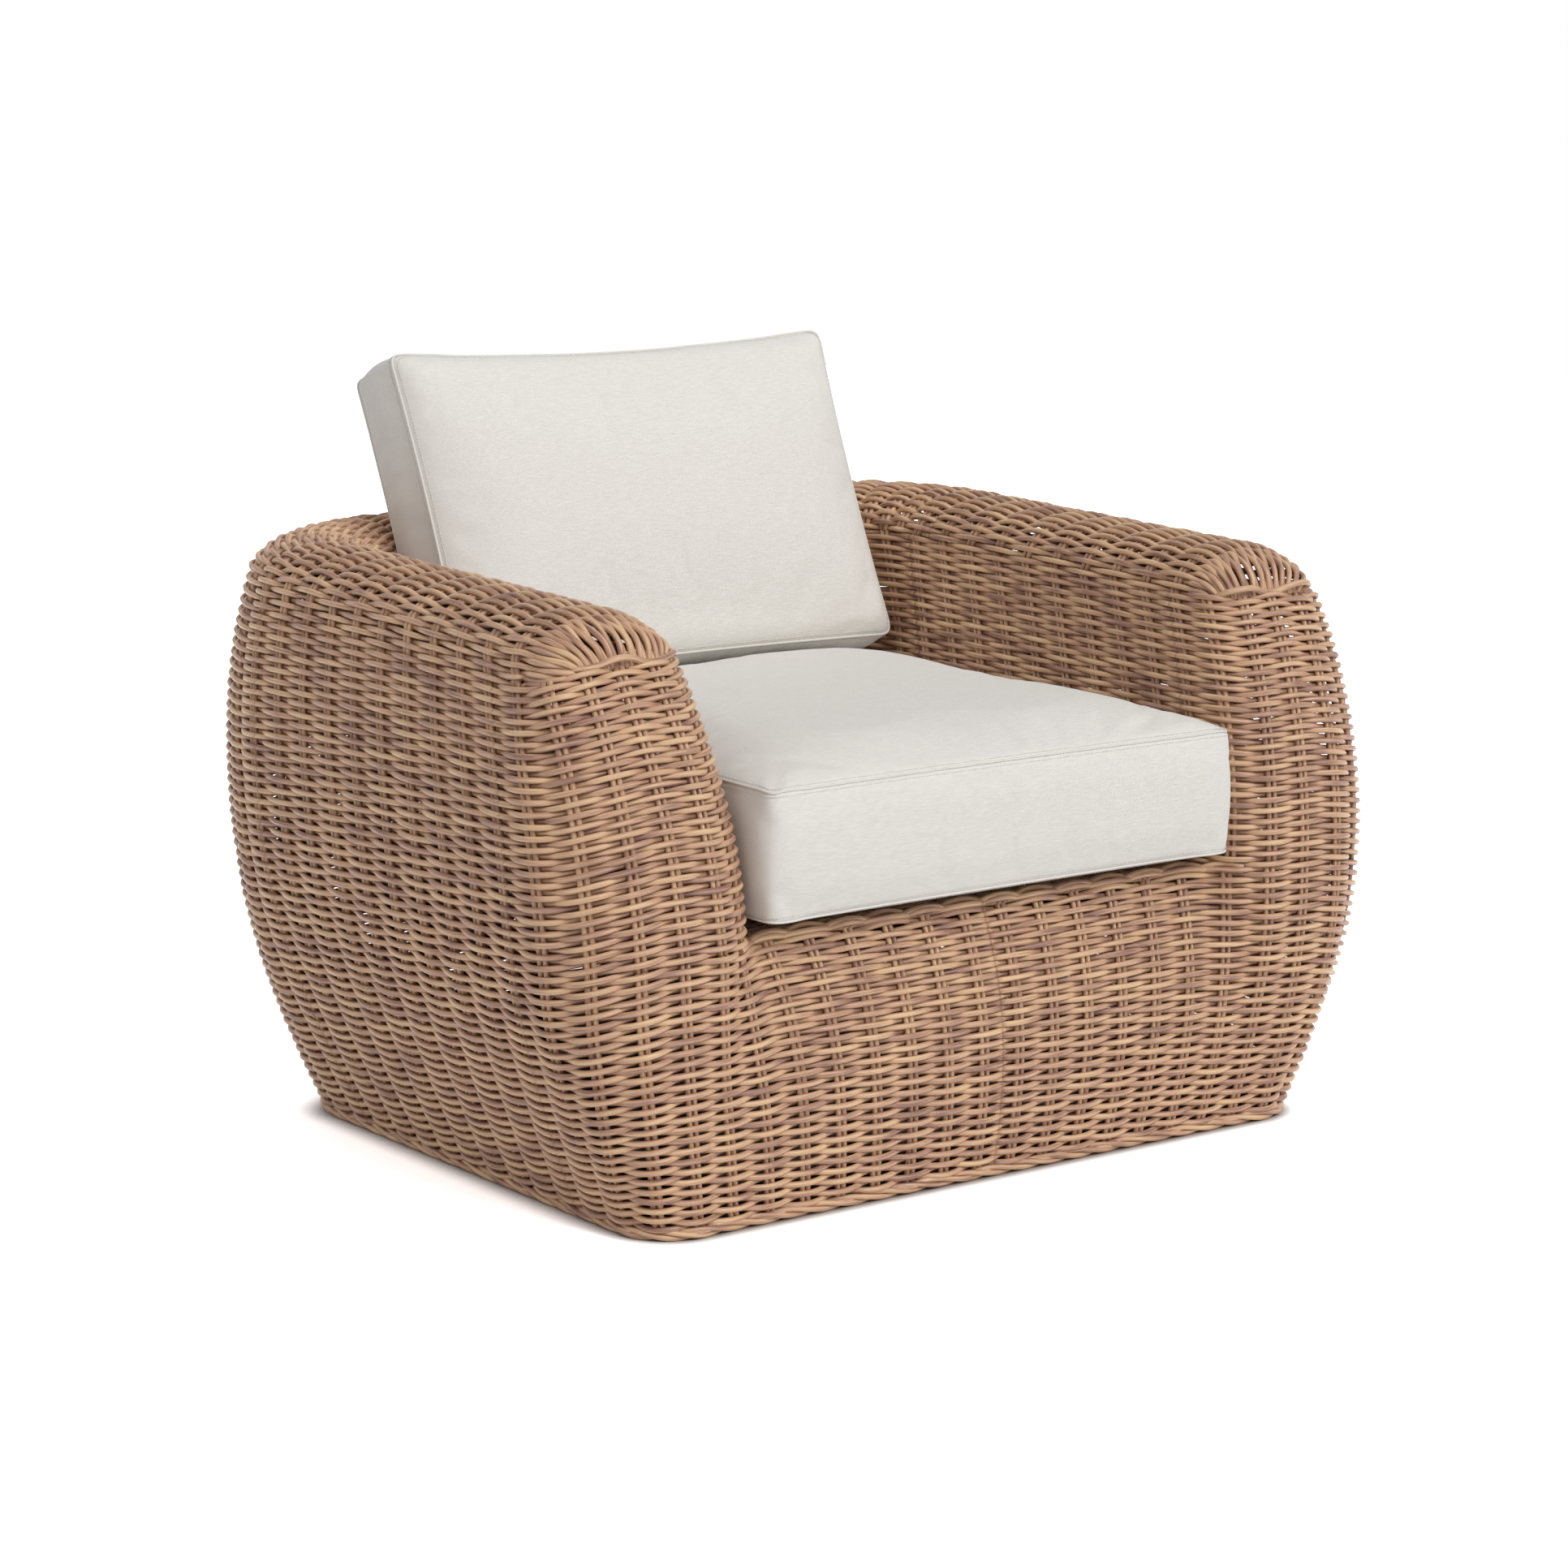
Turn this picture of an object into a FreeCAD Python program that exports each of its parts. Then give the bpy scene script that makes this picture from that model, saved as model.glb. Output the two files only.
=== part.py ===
import FreeCAD, Part
import math
import os

# A club chair woven from round resin strand over a welded tube frame, with two loose box cushions.
# All sizes are in millimetres. X runs to the sitter's left and right, the front is at -Y, Z is up.
# Depths are first measured from the middle of the foot, then moved so that the origin lies under
# the middle of the chair's overall box, on the floor.

V = FreeCAD.Vector
os.makedirs("parts", exist_ok=True)

# Heights
SEAT_LEVEL = 279.0          # top of the woven seat deck, at mid depth
RAIL_LEVEL = 550.0          # where the walls end and the crown begins, at mid depth
CROWN_RISE = 42.0           # crown above the rail level
RAIL_SLOPE = 0.026          # the arm line climbs this much per millimetre towards the back
WEAVE_FOOT = 4.0            # gap between the floor and the lowest woven row
GLIDE_HEIGHT = 10.0         # floor to the underside of the foot rails

# Half widths and half depths of the woven outside
FOOT_HALF_WIDTH = 409.0
BELLY_HALF_WIDTH = 517.0
BELLY_LEVEL = 340.0
RAIL_HALF_WIDTH = 482.0
FOOT_HALF_DEPTH = 340.0
NOSE_BELLY_DEPTH = 365.0
NOSE_BELLY_LEVEL = 230.0
NOSE_RAIL_DEPTH = 284.0
BACK_RAIL_DEPTH = 436.0
APRON_BELLY_DEPTH = 352.0
APRON_BELLY_LEVEL = 125.0
APRON_TOP_DEPTH = 314.0

# Half widths and depth of the space between the arms
INNER_SEAT_HALF_WIDTH = 290.0
INNER_RAIL_HALF_WIDTH = 330.0
INNER_SEAT_DEPTH = 265.0
INNER_RAIL_DEPTH = 337.0

# Corner radii seen from above
NOSE_FOOT_RADIUS = 55.0
NOSE_SEAT_RADIUS = 95.0
NOSE_RAIL_RADIUS = 35.0
NOSE_INNER_SEAT_RADIUS = 68.0
NOSE_INNER_RAIL_RADIUS = 35.0
BACK_FOOT_RADIUS = 105.0
BACK_SEAT_RADIUS = 185.0
BACK_RAIL_RADIUS = 220.0
BACK_INNER_SEAT_RADIUS = 66.0
BACK_INNER_RAIL_RADIUS = 108.0
APRON_HOLLOW_SEAT_RADIUS = 60.0
APRON_HOLLOW_FOOT_RADIUS = 500.0

# Weave and frame tube
WEAVE_THICKNESS = 16.0      # a stake with a strand on each side of it
FOOT_TUBE = 22.0
RAIL_TUBE = 19.0
RIB_TUBE = 16.0
ARCH_TUBE = 12.0
TUBE_WALL = 1.5
FRAME_CLEARANCE = 1.0       # between the weave and the tube that it is woven round
RIB_CLEARANCE = 8.0         # at the middle of the bent ribs, which are single arcs
RAIL_BELOW_CROWN = 15.0     # arm rails under the rail level
ARM_ARCH_RISE = 31.0
BACK_ARCH_RISE = 20.0
SIDE_RIB_PLACES = (-150.0, 20.0, 170.0)
BACK_RIB_PLACES = (-170.0, 0.0, 170.0)
STILE_PLACES = (-150.0, 0.0, 150.0)
POST_PLACES = (-215.0, 0.0, 215.0)
SEAT_BAR_COUNT = 6
SEAT_BAR_WIDTH = 38.0
SEAT_BAR_HEIGHT = 12.0
SEAT_BAR_HOLD = 2.0         # how far a bar's end is cut to wrap the side rail
SEAT_GAP = 0.3              # pieces that lie on each other without being joined

# Glides
GLIDE_DIAMETER = 26.0
GLIDE_CRADLE = 6.0          # how far the glide reaches up round its rail
GLIDE_PLACES = (-190.0, 0.0, 190.0)
SCREW_SHANK = 4.5
SCREW_HEAD = 9.0
SCREW_HEAD_DEPTH = 3.0
SCREW_SINK = 1.0            # head below the glide's face
SCREW_REACH = 16.0          # shank above the head

# Cushions
CUSHION_SIDE_GAP = 2.0
COVER_THICKNESS = 1.6
CORNER_RADIUS = 10.0
SEAT_CUSHION_REAR_RADIUS = 72.0
CUSHION_BOX_BULGE = 2.5
CUSHION_CROWN_SHAPE = ((0, 0), (0.05, 0.36), (0.12, 0.62), (0.27, 0.86), (0.45, 0.97), (0.6, 1.0))  # way in, way up
CUSHION_CROWN_ROUNDING = 0.2
CORE_CLEARANCE = 0.3
CORE_SIDE_ROOM = 8.0        # the fibre wrap doesn't fill the back cushion's sides, ends and rear edges
CORE_END_ROOM = 4.0
CORE_REAR_ROOM = 4.0
SEAT_CUSHION_FRONT = 358.0
SEAT_CUSHION_BACK_GAP = 9.0
SEAT_CUSHION_BELOW = 12.0   # lower crown, deck side
SEAT_CUSHION_BOX = 126.0    # height of the boxing between its two seams
SEAT_CUSHION_CROWN = 24.0
SEAT_CUSHION_DRAW = (3.0, 3.0, 3.0, 4.0)     # right, back, left and front edges
BACK_CUSHION_HALF_WIDTH = 279.0
BACK_CUSHION_HEIGHT = 355.0
BACK_CUSHION_BOX = 80.0
BACK_CUSHION_CROWN = 26.0
BACK_CUSHION_REAR_CROWN = 9.0
BACK_CUSHION_DRAW = (5.0, 12.0, 5.0, 4.0)    # side, top, side and lower edges
BACK_CUSHION_LEAN = 23.0    # degrees from upright
BACK_CUSHION_FOOT = 188.7   # front lower seam, behind the middle of the foot
BACK_CUSHION_FLOOR = 452.5  # front lower seam above the floor

# Planes that part the weave into its panels
NOSE_SPLIT = -265.0
BACK_SPLIT = 185.0

MID_DEPTH = (BACK_RAIL_DEPTH - NOSE_BELLY_DEPTH) / 2
BIG = 2000.0
WALL_LEVELS = 6
CROWN_ANGLES = (0.0, 22.0, 42.0, 60.0, 72.0, 80.0)
DOWN = V(0, 0, -1)
UP = V(0, 0, 1)


def ease(z, low, high):
    """Quarter sine from 0 at low to 1 at high."""
    return math.sin(math.pi / 2 * min(max((z - low) / (high - low), 0.0), 1.0))


def share(z, low, high):
    """How far z has come from low to high, from 0 to 1."""
    return min(max((z - low) / (high - low), 0.0), 1.0)


def side_half(z):
    """Half width of the outside at height z: out to the belly, then in again to the rail."""
    if z <= BELLY_LEVEL:
        return FOOT_HALF_WIDTH + (BELLY_HALF_WIDTH - FOOT_HALF_WIDTH) * ease(z, 0, BELLY_LEVEL)
    return BELLY_HALF_WIDTH - (BELLY_HALF_WIDTH - RAIL_HALF_WIDTH) * share(z, BELLY_LEVEL, RAIL_LEVEL) ** 2.4


def nose_depth(z):
    """Depth of the arm fronts before the middle of the foot."""
    if z <= NOSE_BELLY_LEVEL:
        return FOOT_HALF_DEPTH + (NOSE_BELLY_DEPTH - FOOT_HALF_DEPTH) * ease(z, 0, NOSE_BELLY_LEVEL)
    fall = share(z, NOSE_BELLY_LEVEL, RAIL_LEVEL) ** 2.4
    return NOSE_BELLY_DEPTH - (NOSE_BELLY_DEPTH - NOSE_RAIL_DEPTH) * fall


def back_depth(z):
    """Depth of the outside of the back, which leans out in a straight line."""
    return FOOT_HALF_DEPTH + (BACK_RAIL_DEPTH - FOOT_HALF_DEPTH) * share(z, 0, RAIL_LEVEL)


def apron_depth(z):
    """Depth of the apron: a small belly low down, then back under the cushion."""
    if z <= APRON_BELLY_LEVEL:
        return FOOT_HALF_DEPTH - 3 + (APRON_BELLY_DEPTH - FOOT_HALF_DEPTH + 3) * ease(z, 0, APRON_BELLY_LEVEL)
    fall = share(z, APRON_BELLY_LEVEL, SEAT_LEVEL) ** 2
    return APRON_BELLY_DEPTH - (APRON_BELLY_DEPTH - APRON_TOP_DEPTH) * fall


def inner_half(z):
    """Half width of the space between the arms, wider towards the rail."""
    growth = share(z, SEAT_LEVEL, RAIL_LEVEL) ** 2
    return INNER_SEAT_HALF_WIDTH + (INNER_RAIL_HALF_WIDTH - INNER_SEAT_HALF_WIDTH) * growth


def inner_depth(z):
    """Depth of the inside of the back behind the middle of the foot."""
    return INNER_SEAT_DEPTH + (INNER_RAIL_DEPTH - INNER_SEAT_DEPTH) * share(z, SEAT_LEVEL, RAIL_LEVEL)


def nose_radius(z):
    if z <= SEAT_LEVEL:
        return NOSE_FOOT_RADIUS + (NOSE_SEAT_RADIUS - NOSE_FOOT_RADIUS) * share(z, 0, SEAT_LEVEL)
    return NOSE_SEAT_RADIUS - (NOSE_SEAT_RADIUS - NOSE_RAIL_RADIUS) * share(z, SEAT_LEVEL, RAIL_LEVEL) ** 3


def nose_inner_radius(z):
    fall = share(z, SEAT_LEVEL, RAIL_LEVEL) ** 3
    return NOSE_INNER_SEAT_RADIUS - (NOSE_INNER_SEAT_RADIUS - NOSE_INNER_RAIL_RADIUS) * fall


def hollow_radius(z):
    fall = share(z, 0, SEAT_LEVEL)
    return APRON_HOLLOW_FOOT_RADIUS - (APRON_HOLLOW_FOOT_RADIUS - APRON_HOLLOW_SEAT_RADIUS) * fall


def back_radius(z):
    if z <= SEAT_LEVEL:
        return BACK_FOOT_RADIUS + (BACK_SEAT_RADIUS - BACK_FOOT_RADIUS) * share(z, 0, SEAT_LEVEL)
    return BACK_SEAT_RADIUS + (BACK_RAIL_RADIUS - BACK_SEAT_RADIUS) * share(z, SEAT_LEVEL, RAIL_LEVEL)


def back_inner_radius(z):
    growth = share(z, SEAT_LEVEL, RAIL_LEVEL)
    return BACK_INNER_SEAT_RADIUS + (BACK_INNER_RAIL_RADIUS - BACK_INNER_SEAT_RADIUS) * growth


def lifted(z, y):
    """Real height of a level at depth y: the levels tilt up towards the back."""
    return z + RAIL_SLOPE * y * z / RAIL_LEVEL


def at(x, y, z):
    """A point of the chair from its half width, its depth and its level."""
    return V(x, y - MID_DEPTH, lifted(z, y))


def ring(corners, z):
    """Closed wire through the corners at one level. A corner is centre, radius, first and last angle."""
    arcs = []
    for cx, cy, r, first, last in corners:
        points = []
        for angle in (first, (first + last) / 2, last):
            a = math.radians(angle)
            points.append(at(cx + r * math.cos(a), cy + r * math.sin(a), z))
        arcs.append(points)
    edges = []
    for n, points in enumerate(arcs):
        start_of_next = arcs[(n + 1) % len(arcs)][0]
        edges.append(Part.Arc(*points).toShape())
        if points[2].distanceToPoint(start_of_next) > 0.01:
            edges.append(Part.LineSegment(points[2], start_of_next).toShape())
    return Part.Wire(edges)


def outside_corners(z, t):
    """Rounded rectangle of the whole outside, set in by t."""
    a, f, b = side_half(z) - t, nose_depth(z) - t, back_depth(z) - t
    rf, rb = nose_radius(z) - t, back_radius(z) - t
    return [(a - rf, -f + rf, rf, -90, 0), (a - rb, b - rb, rb, 0, 90),
            (-a + rb, b - rb, rb, 90, 180), (-a + rf, -f + rf, rf, 180, 270)]


def inside_corners(z, t):
    """Rounded rectangle of the space between the arms, grown by t and run out past the front."""
    w, d, r = inner_half(z) + t, inner_depth(z) + t, back_inner_radius(z) + t
    front = -BIG / 4
    return [(w - t - 1, front, t + 1, -90, 0), (w - r, d - r, r, 0, 90),
            (-w + r, d - r, r, 90, 180), (-w + t + 1, front, t + 1, 180, 270)]


def horseshoe_corners(a, f, b, w, d, radii):
    """Arms and back seen from above: outer sides, rounded noses and the space between them."""
    rf, ri, rb, rbi = radii
    return [(a - rf, -f + rf, rf, -90, 0), (a - rb, b - rb, rb, 0, 90),
            (-a + rb, b - rb, rb, 90, 180), (-a + rf, -f + rf, rf, 180, 270),
            (-w - ri, -f + ri, ri, -90, 0), (-w + rbi, d - rbi, rbi, 180, 90),
            (w - rbi, d - rbi, rbi, 90, 0), (w + ri, -f + ri, ri, 180, 270)]


def wall_corners(z, t):
    """The horseshoe between the seat and the rail level, set in by t."""
    radii = (nose_radius(z) - t, nose_inner_radius(z) - t, back_radius(z) - t, back_inner_radius(z) + t)
    return horseshoe_corners(side_half(z) - t, nose_depth(z) - t, back_depth(z) - t,
                             inner_half(z) + t, inner_depth(z) + t, radii)


def crown_corners(angle, t):
    """The horseshoe drawn in as the crown closes over it, as a quarter ellipse, set in by t."""
    close = 1 - math.cos(math.radians(angle))
    arm_half = (RAIL_HALF_WIDTH - INNER_RAIL_HALF_WIDTH) / 2
    back_half = (BACK_RAIL_DEPTH - INNER_RAIL_DEPTH) / 2
    ox = t + (arm_half - t) * close
    oy = t + (back_half - t) * close
    nose = min(NOSE_RAIL_RADIUS - t - (ox - t) / 2, (arm_half - ox) * 0.8)
    nose = max(nose, (arm_half - ox) * 0.4)
    corner = (ox + oy) / 2
    radii = (nose, nose, BACK_RAIL_RADIUS - corner, BACK_INNER_RAIL_RADIUS + corner)
    return horseshoe_corners(RAIL_HALF_WIDTH - ox, NOSE_RAIL_DEPTH - ox, BACK_RAIL_DEPTH - oy,
                             INNER_RAIL_HALF_WIDTH + ox, INNER_RAIL_DEPTH + oy, radii)


def foot_corners(z, t):
    """Closed outside below the seat: noses that run in an S curve back to the apron, set in by t."""
    a, f, b, apron = side_half(z) - t, nose_depth(z) - t, back_depth(z) - t, apron_depth(z) - t
    rf, rb = nose_radius(z) - t, back_radius(z) - t
    out, hollow = NOSE_INNER_SEAT_RADIUS - t, hollow_radius(z) + t
    turn = math.degrees(math.acos(1 - (f - apron) / (out + hollow)))
    start = min(INNER_SEAT_HALF_WIDTH + NOSE_INNER_SEAT_RADIUS, a - rf - 1)
    inward = (out + hollow) * math.sin(math.radians(turn))
    centre = -f + out - (out + hollow) * math.cos(math.radians(turn))
    return [(a - rf, -f + rf, rf, -90, 0), (a - rb, b - rb, rb, 0, 90),
            (-a + rb, b - rb, rb, 90, 180), (-a + rf, -f + rf, rf, 180, 270),
            (-start, -f + out, out, -90, -90 + turn), (-start + inward, centre, hollow, 90 + turn, 90),
            (start - inward, centre, hollow, 90, 90 - turn), (start, -f + out, out, 270 - turn, 270)]


def loft(wires):
    return Part.makeLoft(wires, True, False)


def stack(corners, levels, t):
    """Smooth solid through the same outline at several levels."""
    return loft([ring(corners(z, t), z) for z in levels])


def steps(low, high, count):
    return [low + (high - low) * n / (count - 1) for n in range(count)]


def box(x0, x1, y0, y1, z0=-BIG, z1=BIG):
    """A plain block given by depths from the middle of the foot."""
    return Part.makeBox(x1 - x0, y1 - y0, z1 - z0, V(x0, y0 - MID_DEPTH, z0))


def mirrored(shape):
    return shape.mirror(V(0, 0, 0), V(1, 0, 0))


def save(name, shape):
    shape.exportStep("parts/%s.step" % name)


def save_pair(name, shape):
    """A left-hand piece at -X and its mirror image."""
    save(name + "_left", shape)
    save(name + "_right", mirrored(shape))


def rod(path, diameter):
    """Solid round bar along a wire."""
    edge = path.Edges[0]
    start = edge.valueAt(edge.FirstParameter)
    along = edge.tangentAt(edge.FirstParameter)
    section = Part.Wire(Part.makeCircle(diameter / 2, start, along))
    return path.makePipeShell([section], True, False)


def tube(path, diameter):
    """Round tube along a wire, with its bore, as the pair of the tube and its full outer form."""
    full = rod(path, diameter)
    return full.cut(rod(path, diameter - 2 * TUBE_WALL)), full


def line(p, q):
    return Part.Wire(Part.LineSegment(p, q).toShape())


def bow(p, q, r):
    return Part.Wire(Part.Arc(p, q, r).toShape())


def coped(path, diameter, *ends):
    """Tube whose ends are cut to sit against the tubes that it is welded to."""
    shape, full = tube(path, diameter)
    for end in ends:
        shape = shape.cut(end)
    keep = max(shape.Solids, key=lambda s: s.Volume)
    return keep, full


def group(solids):
    return Part.makeCompound(solids)


# Woven walls
def woven_walls():
    """Panels of weave: outer wall, inner wall, arm fronts, apron, crown and deck."""
    t = WEAVE_THICKNESS
    levels = [WEAVE_FOOT] + steps(NOSE_BELLY_LEVEL / 3, RAIL_LEVEL, WALL_LEVELS)
    outer = stack(outside_corners, levels, 0).cut(stack(outside_corners, levels, t))
    side = outer.common(box(-BIG, 0, NOSE_SPLIT, BACK_SPLIT))
    back = outer.common(box(-BIG, BIG, BACK_SPLIT, BIG))
    save_pair("outer_weave", side)
    save("outer_weave_back", back)

    high = steps(SEAT_LEVEL, RAIL_LEVEL, WALL_LEVELS - 1)
    inner = stack(inside_corners, high, t).cut(stack(inside_corners, high, 0))
    inner_side = inner.common(box(-BIG, 0, NOSE_SPLIT, BACK_SPLIT - t))
    inner_back = inner.common(box(-BIG, BIG, BACK_SPLIT - t, BIG))
    save_pair("inner_weave", inner_side)
    save("inner_weave_back", inner_back)

    shoe = stack(wall_corners, high, 0).cut(stack(wall_corners, high, t))
    low = [WEAVE_FOOT] + steps(NOSE_BELLY_LEVEL / 3, SEAT_LEVEL, WALL_LEVELS - 1)
    foot = stack(foot_corners, low, 0).cut(stack(foot_corners, low, t))
    save_pair("arm_front_weave", shoe.common(box(-BIG, 0, -BIG, NOSE_SPLIT)))
    save("apron_weave", foot.common(box(-BIG, BIG, -BIG, NOSE_SPLIT)))

    def crown_form(inset):
        wires = []
        for angle in CROWN_ANGLES:
            level = RAIL_LEVEL + (CROWN_RISE - inset) * math.sin(math.radians(angle))
            wires.append(ring(crown_corners(angle, inset), level))
        return loft(wires)

    crown = crown_form(0).cut(crown_form(t))
    save_pair("arm_crown_weave", crown.common(box(-BIG, 0, -BIG, BACK_SPLIT)))
    save("back_crown_weave", crown.common(box(-BIG, BIG, BACK_SPLIT, BIG)))
    return crown_form(0)


def deck():
    """Woven seat deck: a flat panel that the inner wall stands on."""
    w, d, r = INNER_SEAT_HALF_WIDTH + 14, INNER_SEAT_DEPTH + 14, BACK_INNER_SEAT_RADIUS + 14
    front = APRON_TOP_DEPTH - WEAVE_THICKNESS - SEAT_GAP
    corners = [(w - 2, -front + 2, 2, -90, 0), (w - r, d - r, r, 0, 90),
               (-w + r, d - r, r, 90, 180), (-w + 2, -front + 2, 2, 180, 270)]
    save("seat_deck", loft([ring(corners, SEAT_LEVEL - WEAVE_THICKNESS), ring(corners, SEAT_LEVEL)]))


# Frame
def foot_frame():
    """Foot rails, their corner bends, cross rails, glides and screws. Returns the full foot forms."""
    z = GLIDE_HEIGHT + FOOT_TUBE / 2
    inset = WEAVE_THICKNESS + GLIDE_DIAMETER / 2 + FRAME_CLEARANCE
    x = side_half(WEAVE_FOOT) - inset
    front = apron_depth(WEAVE_FOOT) - inset
    back = back_depth(WEAVE_FOOT) - inset
    rf = nose_radius(z)
    rb = back_radius(z) - inset

    def flat(px, py):
        return V(px, py - MID_DEPTH, z)

    def bend(cx, cy, r, first):
        p = [flat(cx + r * math.cos(math.radians(first + n)), cy + r * math.sin(math.radians(first + n)))
             for n in (0, 45, 90)]
        return tube(bow(*p), FOOT_TUBE)

    front_rail = tube(line(flat(-x + rf, -front), flat(x - rf, -front)), FOOT_TUBE)
    back_rail = tube(line(flat(-x + rb, back), flat(x - rb, back)), FOOT_TUBE)
    side_rail = tube(line(flat(-x, -front + rf), flat(-x, back - rb)), FOOT_TUBE)
    bends = [bend(x - rf, -front + rf, rf, -90), bend(x - rb, back - rb, rb, 0),
             bend(-x + rb, back - rb, rb, 90), bend(-x + rf, -front + rf, rf, 180)]
    save("foot_corner_bends", group([b[0] for b in bends]))

    cross_x = post_line()
    ends = [front_rail[1], back_rail[1]] + [b[1] for b in bends]
    cross = coped(line(flat(-cross_x, -front), flat(-cross_x, back)), RAIL_TUBE, *ends)
    save_pair("foot_cross_rail", cross[0])

    glides, screws, holes = [], [], []
    spots = [(-x, y) for y in GLIDE_PLACES] + [(x, y) for y in GLIDE_PLACES]
    for px, py in spots:
        spot = V(px, py - MID_DEPTH, 0)
        body = Part.makeCylinder(GLIDE_DIAMETER / 2, GLIDE_HEIGHT + GLIDE_CRADLE, spot)
        body = body.cut(side_rail[1]).cut(mirrored(side_rail[1]))
        head_top = SCREW_SINK + SCREW_HEAD_DEPTH
        head = Part.makeCone(SCREW_HEAD / 2, SCREW_SHANK / 2, SCREW_HEAD_DEPTH, spot + UP * SCREW_SINK)
        shank = Part.makeCylinder(SCREW_SHANK / 2, SCREW_REACH, spot + UP * head_top)
        sink = Part.makeCylinder(SCREW_HEAD / 2, SCREW_SINK, spot)
        glides.append(body.cut(head).cut(shank).cut(sink))
        screws.append(head.fuse(shank))
        holes.append(shank)
    save("glides", group(glides))
    save("glide_screws", group(screws))
    save("foot_rail_left", side_rail[0].cut(holes))
    save("foot_rail_right", mirrored(side_rail[0].cut(holes)))
    save("foot_rail_front", front_rail[0])
    save("foot_rail_back", back_rail[0])
    front_full = front_rail[1].fuse([b[1] for b in bends])
    return front_full, back_rail[1], side_rail[1], cross[1], front, back, x


def post_line():
    """Half distance between the seat's side rails, which stand behind the inner weave."""
    return INNER_SEAT_HALF_WIDTH + WEAVE_THICKNESS + FRAME_CLEARANCE + RAIL_TUBE / 2


def seat_frame(foot):
    """Seat rails, posts, flat bars and apron stiles. Returns the side and back rails' full forms."""
    front_foot, back_foot, side_foot, cross, foot_front = foot[:5]
    z = SEAT_LEVEL - WEAVE_THICKNESS - SEAT_GAP - RAIL_TUBE / 2
    x = post_line()
    front = apron_depth(z) - WEAVE_THICKNESS - FRAME_CLEARANCE - RAIL_TUBE / 2
    back = INNER_SEAT_DEPTH + WEAVE_THICKNESS + FRAME_CLEARANCE + RAIL_TUBE / 2
    side = tube(line(at(-x, -front, z), at(-x, back, z)), RAIL_TUBE)
    right_full = mirrored(side[1])
    front_rail = coped(line(at(-x, -front, z), at(x, -front, z)), RAIL_TUBE, side[1], right_full)
    back_rail = coped(line(at(-x, back, z), at(x, back, z)), RAIL_TUBE, side[1], right_full)
    save_pair("seat_rail", side[0])
    save("seat_rail_front", front_rail[0])
    save("seat_rail_back", back_rail[0])

    floor_z = GLIDE_HEIGHT + FOOT_TUBE / 2
    posts = []
    for y in POST_PLACES:
        path = line(V(-x, y - MID_DEPTH, floor_z), at(-x, y, z))
        posts.append(coped(path, RAIL_TUBE, cross, side[1]))
    save_pair("seat_posts", group([post[0] for post in posts]))

    stiles = []
    for px in STILE_PLACES:
        path = line(V(px, -foot_front - MID_DEPTH, floor_z), at(px, -front, z))
        stiles.append(coped(path, RIB_TUBE, front_foot, front_rail[1])[0])
    save("apron_stiles", group(stiles))

    bars = []
    room = front + back - RAIL_TUBE - SEAT_BAR_WIDTH
    for n in range(SEAT_BAR_COUNT):
        y = -front + RAIL_TUBE / 2 + SEAT_BAR_WIDTH / 2 + room * (n + 0.5) / SEAT_BAR_COUNT
        top = lifted(SEAT_LEVEL - WEAVE_THICKNESS, y - SEAT_BAR_WIDTH / 2) - SEAT_GAP
        half = x - RAIL_TUBE / 2 + SEAT_BAR_HOLD
        bar = box(-half, half, y - SEAT_BAR_WIDTH / 2, y + SEAT_BAR_WIDTH / 2, top - SEAT_BAR_HEIGHT, top)
        for full in [side[1], right_full] + [post[1] for post in posts]:
            bar = bar.cut(full).cut(mirrored(full))
        bars.append(max(bar.Solids, key=lambda s: s.Volume))
    save("seat_bars", group(bars))
    return side[1], back_rail[1]


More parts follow.
